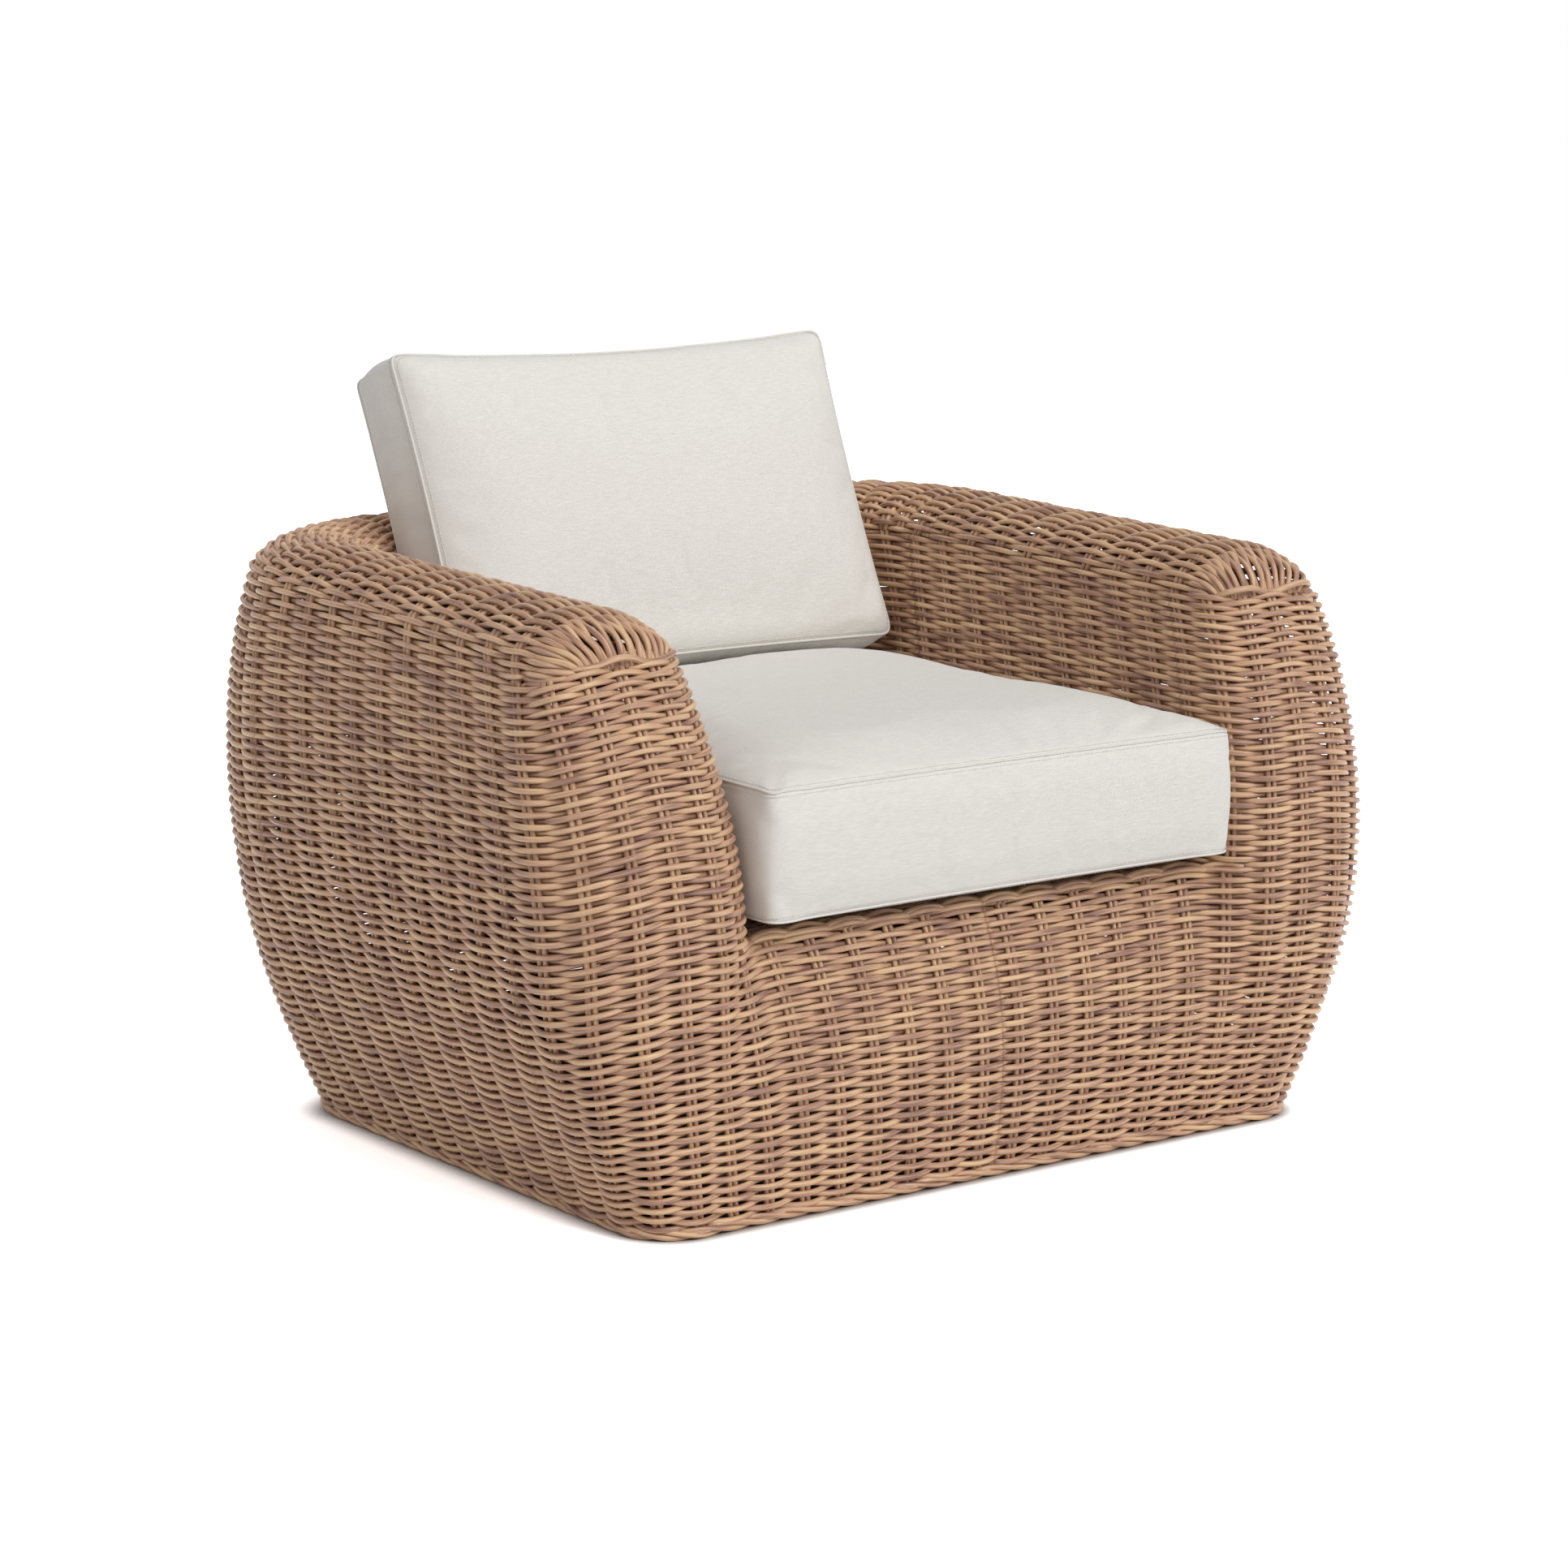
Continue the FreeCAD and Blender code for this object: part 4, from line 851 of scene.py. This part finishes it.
def creased(points, size):
    """A flat cushion's points with shallow waves along the boxing, sin x cos of the run, and front corner folds.

    A fold is a bell across and along the corner's diagonal, pulled in.
    """
    x, y, z = points.T
    up = share(z, 0, size["box"])
    beside = np.abs(np.abs(x) - size["half"])
    gap = np.minimum(beside, np.minimum(np.abs(y - size["front"]), np.abs(y - size["back"])))
    flank = beside < FLANK
    run = np.where(flank, y, x)
    wave = np.sin(run / 31 + 1.7 * np.sin(run / 83)) * np.cos(run / 57 + 2.2 * up)
    middle = (size["front"] + size["back"]) / 2
    out = unit(np.stack([np.where(flank, np.sign(x), 0), np.where(flank, 0, np.sign(y - middle))], axis=1))
    on_box = np.exp(-(gap / FLANK) ** 2) * np.sin(math.pi * up) ** 0.7
    moved = points.copy()
    moved[:, :2] += out * (0.9 * on_box * wave)[:, None]
    for corner in (-1, 1):
        dx, dy = size["half"] - corner * x, y - size["front"]
        along, off = (dx + dy) / math.sqrt(2), (dx - dy) / math.sqrt(2)
        fold = np.exp(-(off / 5) ** 2) * np.exp(-(along - FOLD_IN) ** 2 / 500) * (z > size["box"] - 4)
        moved[:, 2] -= FOLD_DEEP * fold
    return moved


def laid_on(line, cloud, normals, height):
    """Points moved onto the plane of the nearest surface point, height above it, and that point's normals."""
    index, _ = nearest(line, cloud)
    face = normals[index]
    return line - face * (((line - cloud[index]) * face).sum(axis=1) - height)[:, None], face


def sewing(size, mesh):
    """Seam folds and topstitches of a cushion that lies flat, as one shell each."""
    cloud, normals = coordinates(mesh), vectors(mesh.vertex_normals, "vector")
    folds, stitches = Shell(), Shell()
    for number, level in enumerate((0.0, size["box"])):
        line, face = laid_on(seam_ring(size, level, pitch=FOLD_PITCH), cloud, normals, 0.35)
        line = (np.roll(line[:-1], 1, 0) + line[:-1] * 2 + np.roll(line[:-1], -1, 0)) / 4
        line, face = (np.concatenate([v, v[:1]]) for v in (line, face[:-1]))
        folds.tubes(line[None], face[None], FOLD_RADIUS, 6, [number])
        for inset, drop in STITCH_ROWS:
            spots, face = laid_on(seam_ring(size, level, inset, drop), cloud, normals, 0.1)
            spots, face = spots[:-1], face[:-1, None]
            along = unit(np.roll(spots, -1, 0) - np.roll(spots, 1, 0))[:, None]
            ends = spots[:, None] + along * np.array(STITCH_ALONG)[:, None] - face * np.array(STITCH_UNDER)[:, None]
            stitches.tubes(ends, np.repeat(face, 4, axis=1), STITCH_RADIUS, 4, np.zeros(len(ends)))
    return folds, stitches


def stood(points, size):
    """A flat cushion's points moved to its place in the chair, in mm."""
    if size is SEAT_CUSHION:
        return points + np.array([0, -MID_DEPTH, SEAT_FLOOR])
    c, s = math.cos(math.radians(BACK_LEAN)), math.sin(math.radians(BACK_LEAN))
    x, y, z = points[..., 0], points[..., 1], points[..., 2]
    return np.stack([-x, c * y + s * z + BACK_FOOT[0], s * y - c * z + BACK_FOOT[1]], axis=-1)


# ---------------------------------------------------------------- materials

def colour(text):
    """Linear RGBA of an sRGB hex colour."""
    value = np.array([int(text[i:i + 2], 16) / 255 for i in (1, 3, 5)])
    linear = np.where(value <= 0.04045, value / 12.92, ((value + 0.055) / 1.055) ** 2.4)
    return (*linear.tolist(), 1.0)


def feed(made, inputs=None, links=None):
    """Sets a shader node's input values, and links sockets, or the first outputs of nodes, into it."""
    for key, value in (inputs or {}).items():
        made.inputs[key].default_value = value
    for key, source in (links or {}).items():
        source = source.outputs[0] if isinstance(source, bpy.types.Node) else source
        made.id_data.links.new(source, made.inputs[key])
    return made


def node(tree, kind, inputs=None, links=None, stops=(), **values):
    """Adds a shader node with its values, inputs, links and colour stops, of which a ramp has two of its own."""
    made = tree.nodes.new("ShaderNode" + kind)
    for key, value in values.items():
        setattr(made, key, value)
    for number, (position, tint) in enumerate(stops):
        elements = made.color_ramp.elements
        stop = elements[number] if number < 2 else elements.new(position)
        stop.position, stop.color = position, tint
    return feed(made, inputs, links)


def blank_material(name, view):
    """A node material with its Principled shader and a plain viewport colour."""
    material = bpy.data.materials.new(name)
    material.use_nodes = True
    material.diffuse_color = view
    tree = material.node_tree
    return material, tree, tree.nodes["Principled BSDF"]


def strand_material():
    """Extruded polyethylene strand: honey drifting into mauve brown along each length, with fine drawn lines."""
    s = settings()
    material, tree, shader = blank_material("resin_strand", colour("#b98d66"))
    uv = node(tree, "UVMap", uv_map="strand")
    # the colour drifts over some 70 mm of a strand
    far = node(tree, "Mapping", {"Scale": (14.0, 3.1, 1.0)}, {"Vector": uv})
    tone = node(tree, "TexNoise", {"Scale": 1.0, "Detail": 3.0, "Roughness": 0.6}, {"Vector": far})
    ramp = node(tree, "ValToRGB", links={"Fac": tone},
                stops=((0.34, s.strand_dark), (0.66, s.strand_light), (0.5, s.strand_middle)))
    # drawn lines from the extruder, about 0.4 mm wide round the strand and 40 mm long
    near = node(tree, "Mapping", {"Scale": (60.0, 40.0, 1.0)}, {"Vector": uv})
    lines = node(tree, "TexNoise", {"Scale": 1.0, "Detail": 2.0}, {"Vector": near})
    shade = node(tree, "MapRange", {"From Min": 0.3, "From Max": 0.7, "To Min": 0.88, "To Max": 1.08},
                 {"Value": lines})
    mixed = node(tree, "VectorMath", {}, {0: ramp, "Scale": shade}, operation="SCALE")
    rough = node(tree, "MapRange", {"From Min": 0.2, "From Max": 0.8, "To Min": 0.36, "To Max": 0.52},
                 {"Value": lines})
    bump = node(tree, "Bump", {"Strength": 0.25, "Distance": 0.0003}, {"Height": lines})
    feed(shader, {}, {"Base Color": mixed, "Roughness": rough, "Normal": bump})
    return material


def grained_material(name, tint, metallic, rough, grain):
    """Painted or plated metal, nylon or foam: noise grain mm across in roughness and bump, broad noise in tone."""
    material, tree, shader = blank_material(name, tint)
    where = node(tree, "TexCoord").outputs["Object"]
    noise = node(tree, "TexNoise", {"Scale": 1000.0 / grain, "Detail": 3.0}, {"Vector": where})
    spread = node(tree, "MapRange", {"To Min": rough - 0.08, "To Max": rough + 0.1}, {"Value": noise})
    broad = node(tree, "TexNoise", {"Scale": 22.0, "Detail": 4.0}, {"Vector": where})
    tone = node(tree, "MapRange", {"To Min": 0.86, "To Max": 1.1}, {"Value": broad})
    mixed = node(tree, "VectorMath", {0: tint[:3]}, {"Scale": tone}, operation="SCALE")
    bump = node(tree, "Bump", {"Strength": 0.2, "Distance": 0.0002}, {"Height": noise})
    feed(shader, {"Metallic": metallic}, {"Base Color": mixed, "Roughness": spread, "Normal": bump})
    return material


def cloth_material():
    """Off-white outdoor twill: slanting ribs about 1.1 mm apart, soft sheen, faint unevenness of the yarn."""
    s = settings()
    material, tree, shader = blank_material("cream_twill", colour("#e9e3d6"))
    where = node(tree, "TexCoord").outputs["Object"]
    # yarns of two tones, seen as flecks about 1 mm thick and 12 mm long across the chair
    across = node(tree, "Mapping", {"Scale": (80.0, 900.0, 900.0)}, {"Vector": where})
    tone = node(tree, "TexNoise", {"Scale": 1.0, "Detail": 3.0, "Roughness": 0.65}, {"Vector": across})
    mix = node(tree, "ValToRGB", links={"Fac": tone}, stops=((0.32, s.cloth_shade), (0.68, s.cloth_light)))
    turn = node(tree, "Mapping", {"Rotation": (0.6, 0.5, 0.7)}, {"Vector": where})
    ribs = node(tree, "TexWave", {"Scale": 290.0, "Distortion": 1.2, "Detail": 2.0, "Detail Scale": 2.0},
                {"Vector": turn})
    yarn = node(tree, "TexNoise", {"Scale": 1400.0, "Detail": 2.0}, {"Vector": where})
    height = node(tree, "Math", {}, {0: ribs.outputs["Fac"], 1: yarn}, operation="ADD")
    bump = node(tree, "Bump", {"Strength": 0.5, "Distance": 0.0005}, {"Height": height})
    feed(shader, {"Roughness": 0.9, "Sheen Weight": 0.25, "Sheen Roughness": 0.5},
         {"Base Color": mix, "Normal": bump})
    return material


def thread_material():
    """Twisted polyester thread, a shade darker and shinier than the twill."""
    material, tree, shader = blank_material("seam_thread", colour("#cfc9bd"))
    where = node(tree, "TexCoord").outputs["Object"]
    twist = node(tree, "TexWave", {"Scale": 900.0, "Distortion": 1.0}, {"Vector": where})
    tone = node(tree, "ValToRGB", links={"Fac": twist.outputs["Fac"]},
                stops=((0.0, colour("#d3cec4")), (1.0, colour("#ece8df"))))
    feed(shader, {"Roughness": 0.55}, {"Base Color": tone})
    return material


def strand():
    """The strand material, made the first time it is asked for."""
    return bpy.data.materials.get("resin_strand") or strand_material()


def twill():
    """The cushions' cloth, made the first time it is asked for."""
    return bpy.data.materials.get("cream_twill") or cloth_material()


def looked_at(tree):
    """1 where the camera, a mirror or glass looks at the surface, else 0."""
    path = node(tree, "LightPath").outputs
    near = node(tree, "Math", {}, {0: path["Is Camera Ray"], 1: path["Is Glossy Ray"]}, operation="MAXIMUM")
    return node(tree, "Math", {}, {0: near, 1: path["Is Transmission Ray"]}, operation="MAXIMUM")


def floor_material():
    """Matt pale floor, seen overexposed to white, with a painted shadow that darkens it near the foot, a rounded box
    of 818 by 640 mm.
    """
    material, tree, _ = blank_material("studio_floor", colour("#f2f2f0"))
    matt = node(tree, "BsdfDiffuse")
    seen = looked_at(tree)
    far = node(tree, "TexCoord").outputs["Object"]
    # distance of each floor point from a rounded box round the foot, which the painted shadow follows
    for operation, inputs in (("ADD", {1: (0, 0.0555, 0)}), ("ABSOLUTE", {}), ("SUBTRACT", {1: (0.354, 0.265, 0)}),
                              ("MAXIMUM", {1: (0, 0, 0)}), ("LENGTH", {})):
        far = node(tree, "VectorMath", inputs, {0: far}, operation=operation)
    # painted shadow: within 50 mm of that box the camera sees the floor darker than its own colour, and past 92 mm
    # overexposed to white
    painted_shadow_and_white = node(tree, "MapRange", {"From Min": 0.05, "From Max": 0.092, "To Min": -0.6, "To Max": 2.25},
                {"Value": far.outputs["Value"]}, interpolation_type="SMOOTHSTEP")
    seen_painted_shadow_and_white = node(tree, "Math", {}, {0: seen, 1: painted_shadow_and_white}, operation="MULTIPLY")
    # the tint makes the painted shadow a little warm and the white a little cool
    level = node(tree, "VectorMath", {1: (0.94, 1.0, 1.06), 2: (0.8, 0.8, 0.8)}, {0: seen_painted_shadow_and_white}, operation="MULTIPLY_ADD")
    feed(matt, {}, {"Color": level})
    feed(tree.nodes["Material Output"], {}, {"Surface": matt})
    return material


# ---------------------------------------------------------------- properties and operators

def size_setting(name, text, default, low, high):
    """A size in millimetres."""
    return FloatProperty(name=name, description=text + ", in millimetres", default=default, min=low, max=high)


def count_setting(name, text, default, low, high):
    """A whole number."""
    return IntProperty(name=name, description=text, default=default, min=low, max=high)


def colour_setting(name, text, default):
    """A colour, given as sRGB hex."""
    return FloatVectorProperty(name=name, description=text, size=4, subtype="COLOR", min=0, max=1,
                               default=colour(default))


def light_setting(name, text, default):
    """Strength of a light."""
    return FloatProperty(name=name, description=text, default=default, min=0)


class ChairSettings(bpy.types.PropertyGroup):
    """Sizes and counts of the weave, its and the cushions' colours, and levels of the light."""

    strand: size_setting("Strand", "Diameter of a resin strand", 6.05, 3, 9)
    wave_height: size_setting("Wave", "How far a row swings in and out round the stakes", 4.8, 1, 8)
    weave_depth: size_setting("Depth", "Depth of the middle of the weave under the wall's surface", 4.5, 0, 9)
    stake_depth: size_setting("Stake depth", "Depth of the stakes' middles under the wall's surface", 4.6, 0, 9)
    crown_wave: size_setting("Crown wave", "How far a crown strand swings in and out round the stakes", 4.5, 1, 8)
    rows: count_setting("Rows", "Woven rows from the foot to the arm's border", 102, 20, 140)
    crown_rows: count_setting("Crown rows", "Strands across the crown, an odd number", 33, 9, 61)
    detail: count_setting("Detail", "Points of a row from one stake to the next", 8, 4, 16)
    sides: count_setting("Sides", "Faces round a strand", 7, 5, 12)
    strand_dark: colour_setting("Strand dark", "Mauve brown that the strands drift into", "#8d675a")
    strand_middle: colour_setting("Strand middle", "Most common colour of the strands", "#c49c7e")
    strand_light: colour_setting("Strand light", "Honey colour that the strands drift into", "#dcb98f")
    cloth_shade: colour_setting("Cloth shade", "Darker tone of the cushions' twill", "#dedbd5")
    cloth_light: colour_setting("Cloth light", "Lighter tone of the cushions' twill", "#ebe8e2")
    tube_colour: colour_setting("Frame", "Powder coat of the hidden frame", "#3d2a22")
    slack: size_setting("Slack", "How much lower a cushion's crown starts before it is puffed up", 6.0, 0, 15)
    key_light: light_setting("Key light", "Strength of the main soft light", 1.82)
    fill_light: light_setting("Fill light", "Strength of the soft light from the left", 0.45)
    sky: light_setting("Sky", "Strength of the light from all round", 0.37)


class CHAIR_OT_walls(bpy.types.Operator):
    """Weave the outer wall, the inner wall, the arm fronts and the apron"""

    bl_idname = "chair.walls"
    bl_label = "Weave the Walls"

    def execute(self, context):
        layout = Layout()
        low, back, nose = layout.low_rows, layout.back_cut, layout.nose_cut
        turn = layout.outer.shape[1] - 1
        inner_nose, inner_back = turn + layout.inner_nose_cut, turn + layout.inner_back_cut
        middle, lower = Shell(), Shell()
        for sign, word in ((1, "right"), (-1, "left")):
            above = Ring(layout.upper, low, sign, 3)
            below = Ring(layout.lower, 0, sign, 9, layout.outer_stakes + 2)
            side, rear, inside, front = Shell(), Shell(), Shell(), Shell()
            for ring in (above, below):
                ring.lay(rear, 0, back)
                ring.lay(side, back, nose)
            above.lay(front, nose, inner_nose)
            above.lay(inside, inner_nose, inner_back)
            above.lay(middle, inner_back, layout.upper.shape[1] - 1)
            below.lay(lower, nose, layout.lower.shape[1] - 1)
            woven(side, "weave_outer_" + word, "outer_weave_" + word)
            woven(rear, "weave_back_" + word, "outer_weave_back")
            woven(inside, "weave_inner_" + word, "inner_weave_" + word)
            woven(front, "weave_nose_" + word, "arm_front_weave_" + word)
        woven(middle, "weave_inner_back", "inner_weave_back")
        woven(lower, "weave_apron", "apron_weave")
        return {"FINISHED"}


class CHAIR_OT_crown(bpy.types.Operator):
    """Weave the crown over the arms and the back"""

    bl_idname = "chair.crown"
    bl_label = "Weave the Crown"

    def execute(self, context):
        s, layout, back = settings(), Layout(), Shell()
        for sign, word in ((1, "right"), (-1, "left")):
            grid, centres, normals = crown_lines(layout, sign < 0)
            cut = column_at(grid[len(grid) // 2, :, 1] + MID_DEPTH, BACK_SPLIT)
            seeds = strand_seeds(len(centres), 11 + sign)
            columns = on_stakes(-0.5 + np.arange(grid.shape[1]) / layout.detail)
            arm = Shell()
            for shell, part, chosen in ((arm, slice(cut, None), columns >= cut),
                                        (back, slice(0, cut + 1), columns < cut)):
                shell.tubes(centres[:, part], normals[:, part], s.strand / 2, s.sides, seeds, sign=sign)
                lines, faces = stake_lines(grid, columns[chosen])
                shell.tubes(lines, faces, s.strand / 2, 6, strand_seeds(len(lines), 14 + sign), sign=sign)
            woven(arm, "crown_arm_" + word, "arm_crown_weave_" + word)
        woven(back, "crown_back", "back_crown_weave")
        return {"FINISHED"}


class CHAIR_OT_borders(bpy.types.Operator):
    """Lay the border strands round the foot, along the apron's top and across each arm front"""

    bl_idname = "chair.borders"
    bl_label = "Lay the Borders"

    def execute(self, context):
        s, layout, apron, rope = settings(), Layout(), Shell(), Shell()
        for sign, word in ((1, "right"), (-1, "left")):
            centre, normals = arm_border(layout, sign < 0)
            arm = Shell()
            arm.tubes(centre[None], normals[None], 0.54 * s.strand, 8, [50.3 + sign], sign=sign)
            woven(arm, "border_arm_" + word)
            centres, normals = apron_roll(layout, sign < 0)
            apron.tubes(centres, normals, s.strand / 2, s.sides, strand_seeds(len(centres), 60 + sign), sign=sign)
        woven(apron, "border_apron")
        rope.tubes(*foot_rope(), ROPE_RADIUS, 7, strand_seeds(3, 63))
        woven(rope, "border_foot")
        return {"FINISHED"}


class CHAIR_OT_deck(bpy.types.Operator):
    """Weave the seat deck that the cushion lies on"""

    bl_idname = "chair.deck"
    bl_label = "Weave the Deck"

    def execute(self, context):
        deck, radius = Shell(), settings().strand / 2
        for seed, lines in enumerate(deck_lines(), 70):
            deck.tubes(lines, np.broadcast_to(UP, lines.shape), radius, 5, strand_seeds(len(lines), seed))
        woven(deck, "deck_weave", "seat_deck")
        return {"FINISHED"}


class CHAIR_OT_cushions(bpy.types.Operator):
    """Sew and puff up the seat cushion and the back cushion"""

    bl_idname = "chair.cushions"
    bl_label = "Make the Cushions"

    def execute(self, context):
        cloth, thread = twill(), thread_material()
        # name, sizes, slack, how far a point may move each way in millimetres, and how tight it is filled
        for name, sizes, slack, low, high, fill in (
                ("seat_cushion", SEAT_CUSHION, settings().slack, (-3, -3, 0), (3, 3, 14), 0.75),
                ("back_cushion", BACK_CUSHION, 0, (-4, -4, -22), (4, 4, 0), 0.6)):
            obj = pillow(sizes, slack).build(name, cloth)
            puffed(obj, sizes, np.array(low), np.array(high))
            move_vertices(obj.data, creased(coordinates(obj.data), sizes))
            for shell, word, finish in zip(sewing(sizes, obj.data), ("seams", "topstitch"), (cloth, thread)):
                shell.verts = [stood(v, sizes) for v in shell.verts]
                piece = shell.build(f"{name}_{word}", finish)
                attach(piece, name)
            move_vertices(obj.data, stood(coordinates(obj.data), sizes))
            obj.data.materials.clear()
            obj.data.materials.append(cloth)
            obj.data.polygons.foreach_set("use_smooth", np.ones(len(obj.data.polygons), dtype=bool))
            finer = obj.modifiers.new("finer", "SUBSURF")
            finer.levels = finer.render_levels = 1
            finish_piece(obj, name, [f"{name}_cover", f"{name}_core"])
        return {"FINISHED"}


class CHAIR_OT_finishes(bpy.types.Operator):
    """Give the frame, glides and screws that stay from the CAD their finishes"""

    bl_idname = "chair.finishes"
    bl_label = "Finish the Frame"

    def execute(self, context):
        made = {
            "frame_tube": grained_material("brown_powder_coat", settings().tube_colour, 0.0, 0.45, 0.5),
            "glide_nylon": grained_material("black_nylon", colour("#1c1b1a"), 0.0, 0.5, 0.8),
            "screw_steel": grained_material("zinc_steel", colour("#b9bcc0"), 1.0, 0.32, 0.3),
            "woven_strand": strand(),
            "cushion_cloth": twill(),
            "cushion_fill": grained_material("foam", colour("#e7dfc4"), 0.0, 0.9, 1.5),
        }
        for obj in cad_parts.values():
            for spot in obj.material_slots:
                for slot, material in made.items():
                    if spot.material and slot in spot.material.name:
                        spot.material = material
        return {"FINISHED"}


KEY_TOWARD, FILL_TOWARD = (-0.2, 0.76, -0.6), (0.66, 0.3, -0.68)
LAMP_ANGLE = 35             # apparent size of both lamps, in degrees
FLOOR_SPOKES = 96
FLOOR_RADII = (600.0, 1500.0, 3500.0, 9000.0)


def add_object(name, data, spot, look):
    """Adds a camera or lamp at a spot in metres, looking along a direction, with its up side up."""
    look = unit(np.array(look))
    right = unit(np.cross(look, (0, 0, 1)))
    turn = np.column_stack([right, np.cross(right, look), -look]).tolist()
    obj = bpy.data.objects.new(name, data)
    obj.matrix_world = Matrix([[*row, at] for row, at in zip(turn, spot)] + [[0, 0, 0, 1]])
    bpy.context.scene.collection.objects.link(obj)
    return obj


class CHAIR_OT_stage(bpy.types.Operator):
    """Set the camera, the pale floor and the soft studio light"""

    bl_idname = "chair.stage"
    bl_label = "Set the Stage"

    def execute(self, context):
        scene, s = context.scene, settings()
        scene.camera = add_object("camera", bpy.data.cameras.new("camera"), CAMERA_PLACE, CAMERA_FORWARD)
        scene.camera.data.lens, scene.camera.data.sensor_width = CAMERA_LENS, 36.0
        scene.view_settings.view_transform = "Standard"

        # a disc of rings round its middle
        angle, k = np.linspace(0, 2 * math.pi, FLOOR_SPOKES + 1)[:-1], np.arange(FLOOR_SPOKES)
        rim = np.stack([np.cos(angle), np.sin(angle), 0 * angle], -1) * np.array(FLOOR_RADII)[:, None, None]
        floor = Shell()
        floor.add(np.concatenate([[[0, 0, 0]], rim.reshape(-1, 3)]),
                  [np.stack([0 * k, 1 + k, 1 + (k + 1) % FLOOR_SPOKES], -1),
                   quad_rings(len(FLOOR_RADII), FLOOR_SPOKES, 1)[:, ::-1]])
        floor.build("studio_floor", floor_material())

        world = bpy.data.worlds.new("studio")
        world.use_nodes = True
        back = world.node_tree.nodes["Background"]
        seen = looked_at(world.node_tree)
        level = node(world.node_tree, "MapRange", {"To Min": s.sky, "To Max": 1.0}, {"Value": seen})
        feed(back, {"Color": (1, 1, 1, 1)}, {"Strength": level})
        scene.world = world

        for name, level, toward in (("key", s.key_light, KEY_TOWARD), ("fill", s.fill_light, FILL_TOWARD)):
            lamp = bpy.data.lights.new(name, "SUN")
            lamp.energy, lamp.angle = level, math.radians(LAMP_ANGLE)
            add_object(name, lamp, -3 * unit(np.array(toward)), toward)
        return {"FINISHED"}


class CHAIR_PT_panel(bpy.types.Panel):
    """Sidebar panel with the chair's settings and steps"""

    bl_idname = "CHAIR_PT_panel"
    bl_label = "Woven Chair"
    bl_space_type = "VIEW_3D"
    bl_region_type = "UI"
    bl_category = "Chair"

    def draw(self, context):
        for key in ChairSettings.__annotations__:
            self.layout.prop(settings(), key)
        for operator in STEPS:
            self.layout.operator(operator)


CLASSES = (ChairSettings, CHAIR_OT_walls, CHAIR_OT_crown, CHAIR_OT_borders, CHAIR_OT_deck, CHAIR_OT_cushions,
           CHAIR_OT_finishes, CHAIR_OT_stage, CHAIR_PT_panel)
STEPS = ("chair.stage", "chair.walls", "chair.crown", "chair.borders", "chair.deck", "chair.cushions",
         "chair.finishes")


def register():
    """Registers the classes and the scene's settings."""
    for cls in CLASSES:
        bpy.utils.register_class(cls)
    bpy.types.Scene.woven_chair = PointerProperty(type=ChairSettings)


def unregister():
    """Takes the settings and classes away again."""
    del bpy.types.Scene.woven_chair
    for cls in reversed(CLASSES):
        bpy.utils.unregister_class(cls)


def run_step(name):
    """Calls one operator by its name, such as chair.walls."""
    group, step = name.split(".")
    if getattr(getattr(bpy.ops, group), step)() != {"FINISHED"}:
        raise RuntimeError(f"{name} did not finish")


def main():
    """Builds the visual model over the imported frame."""
    register()
    for name in STEPS:
        run_step(name)


if __name__ == "__main__":
    main()
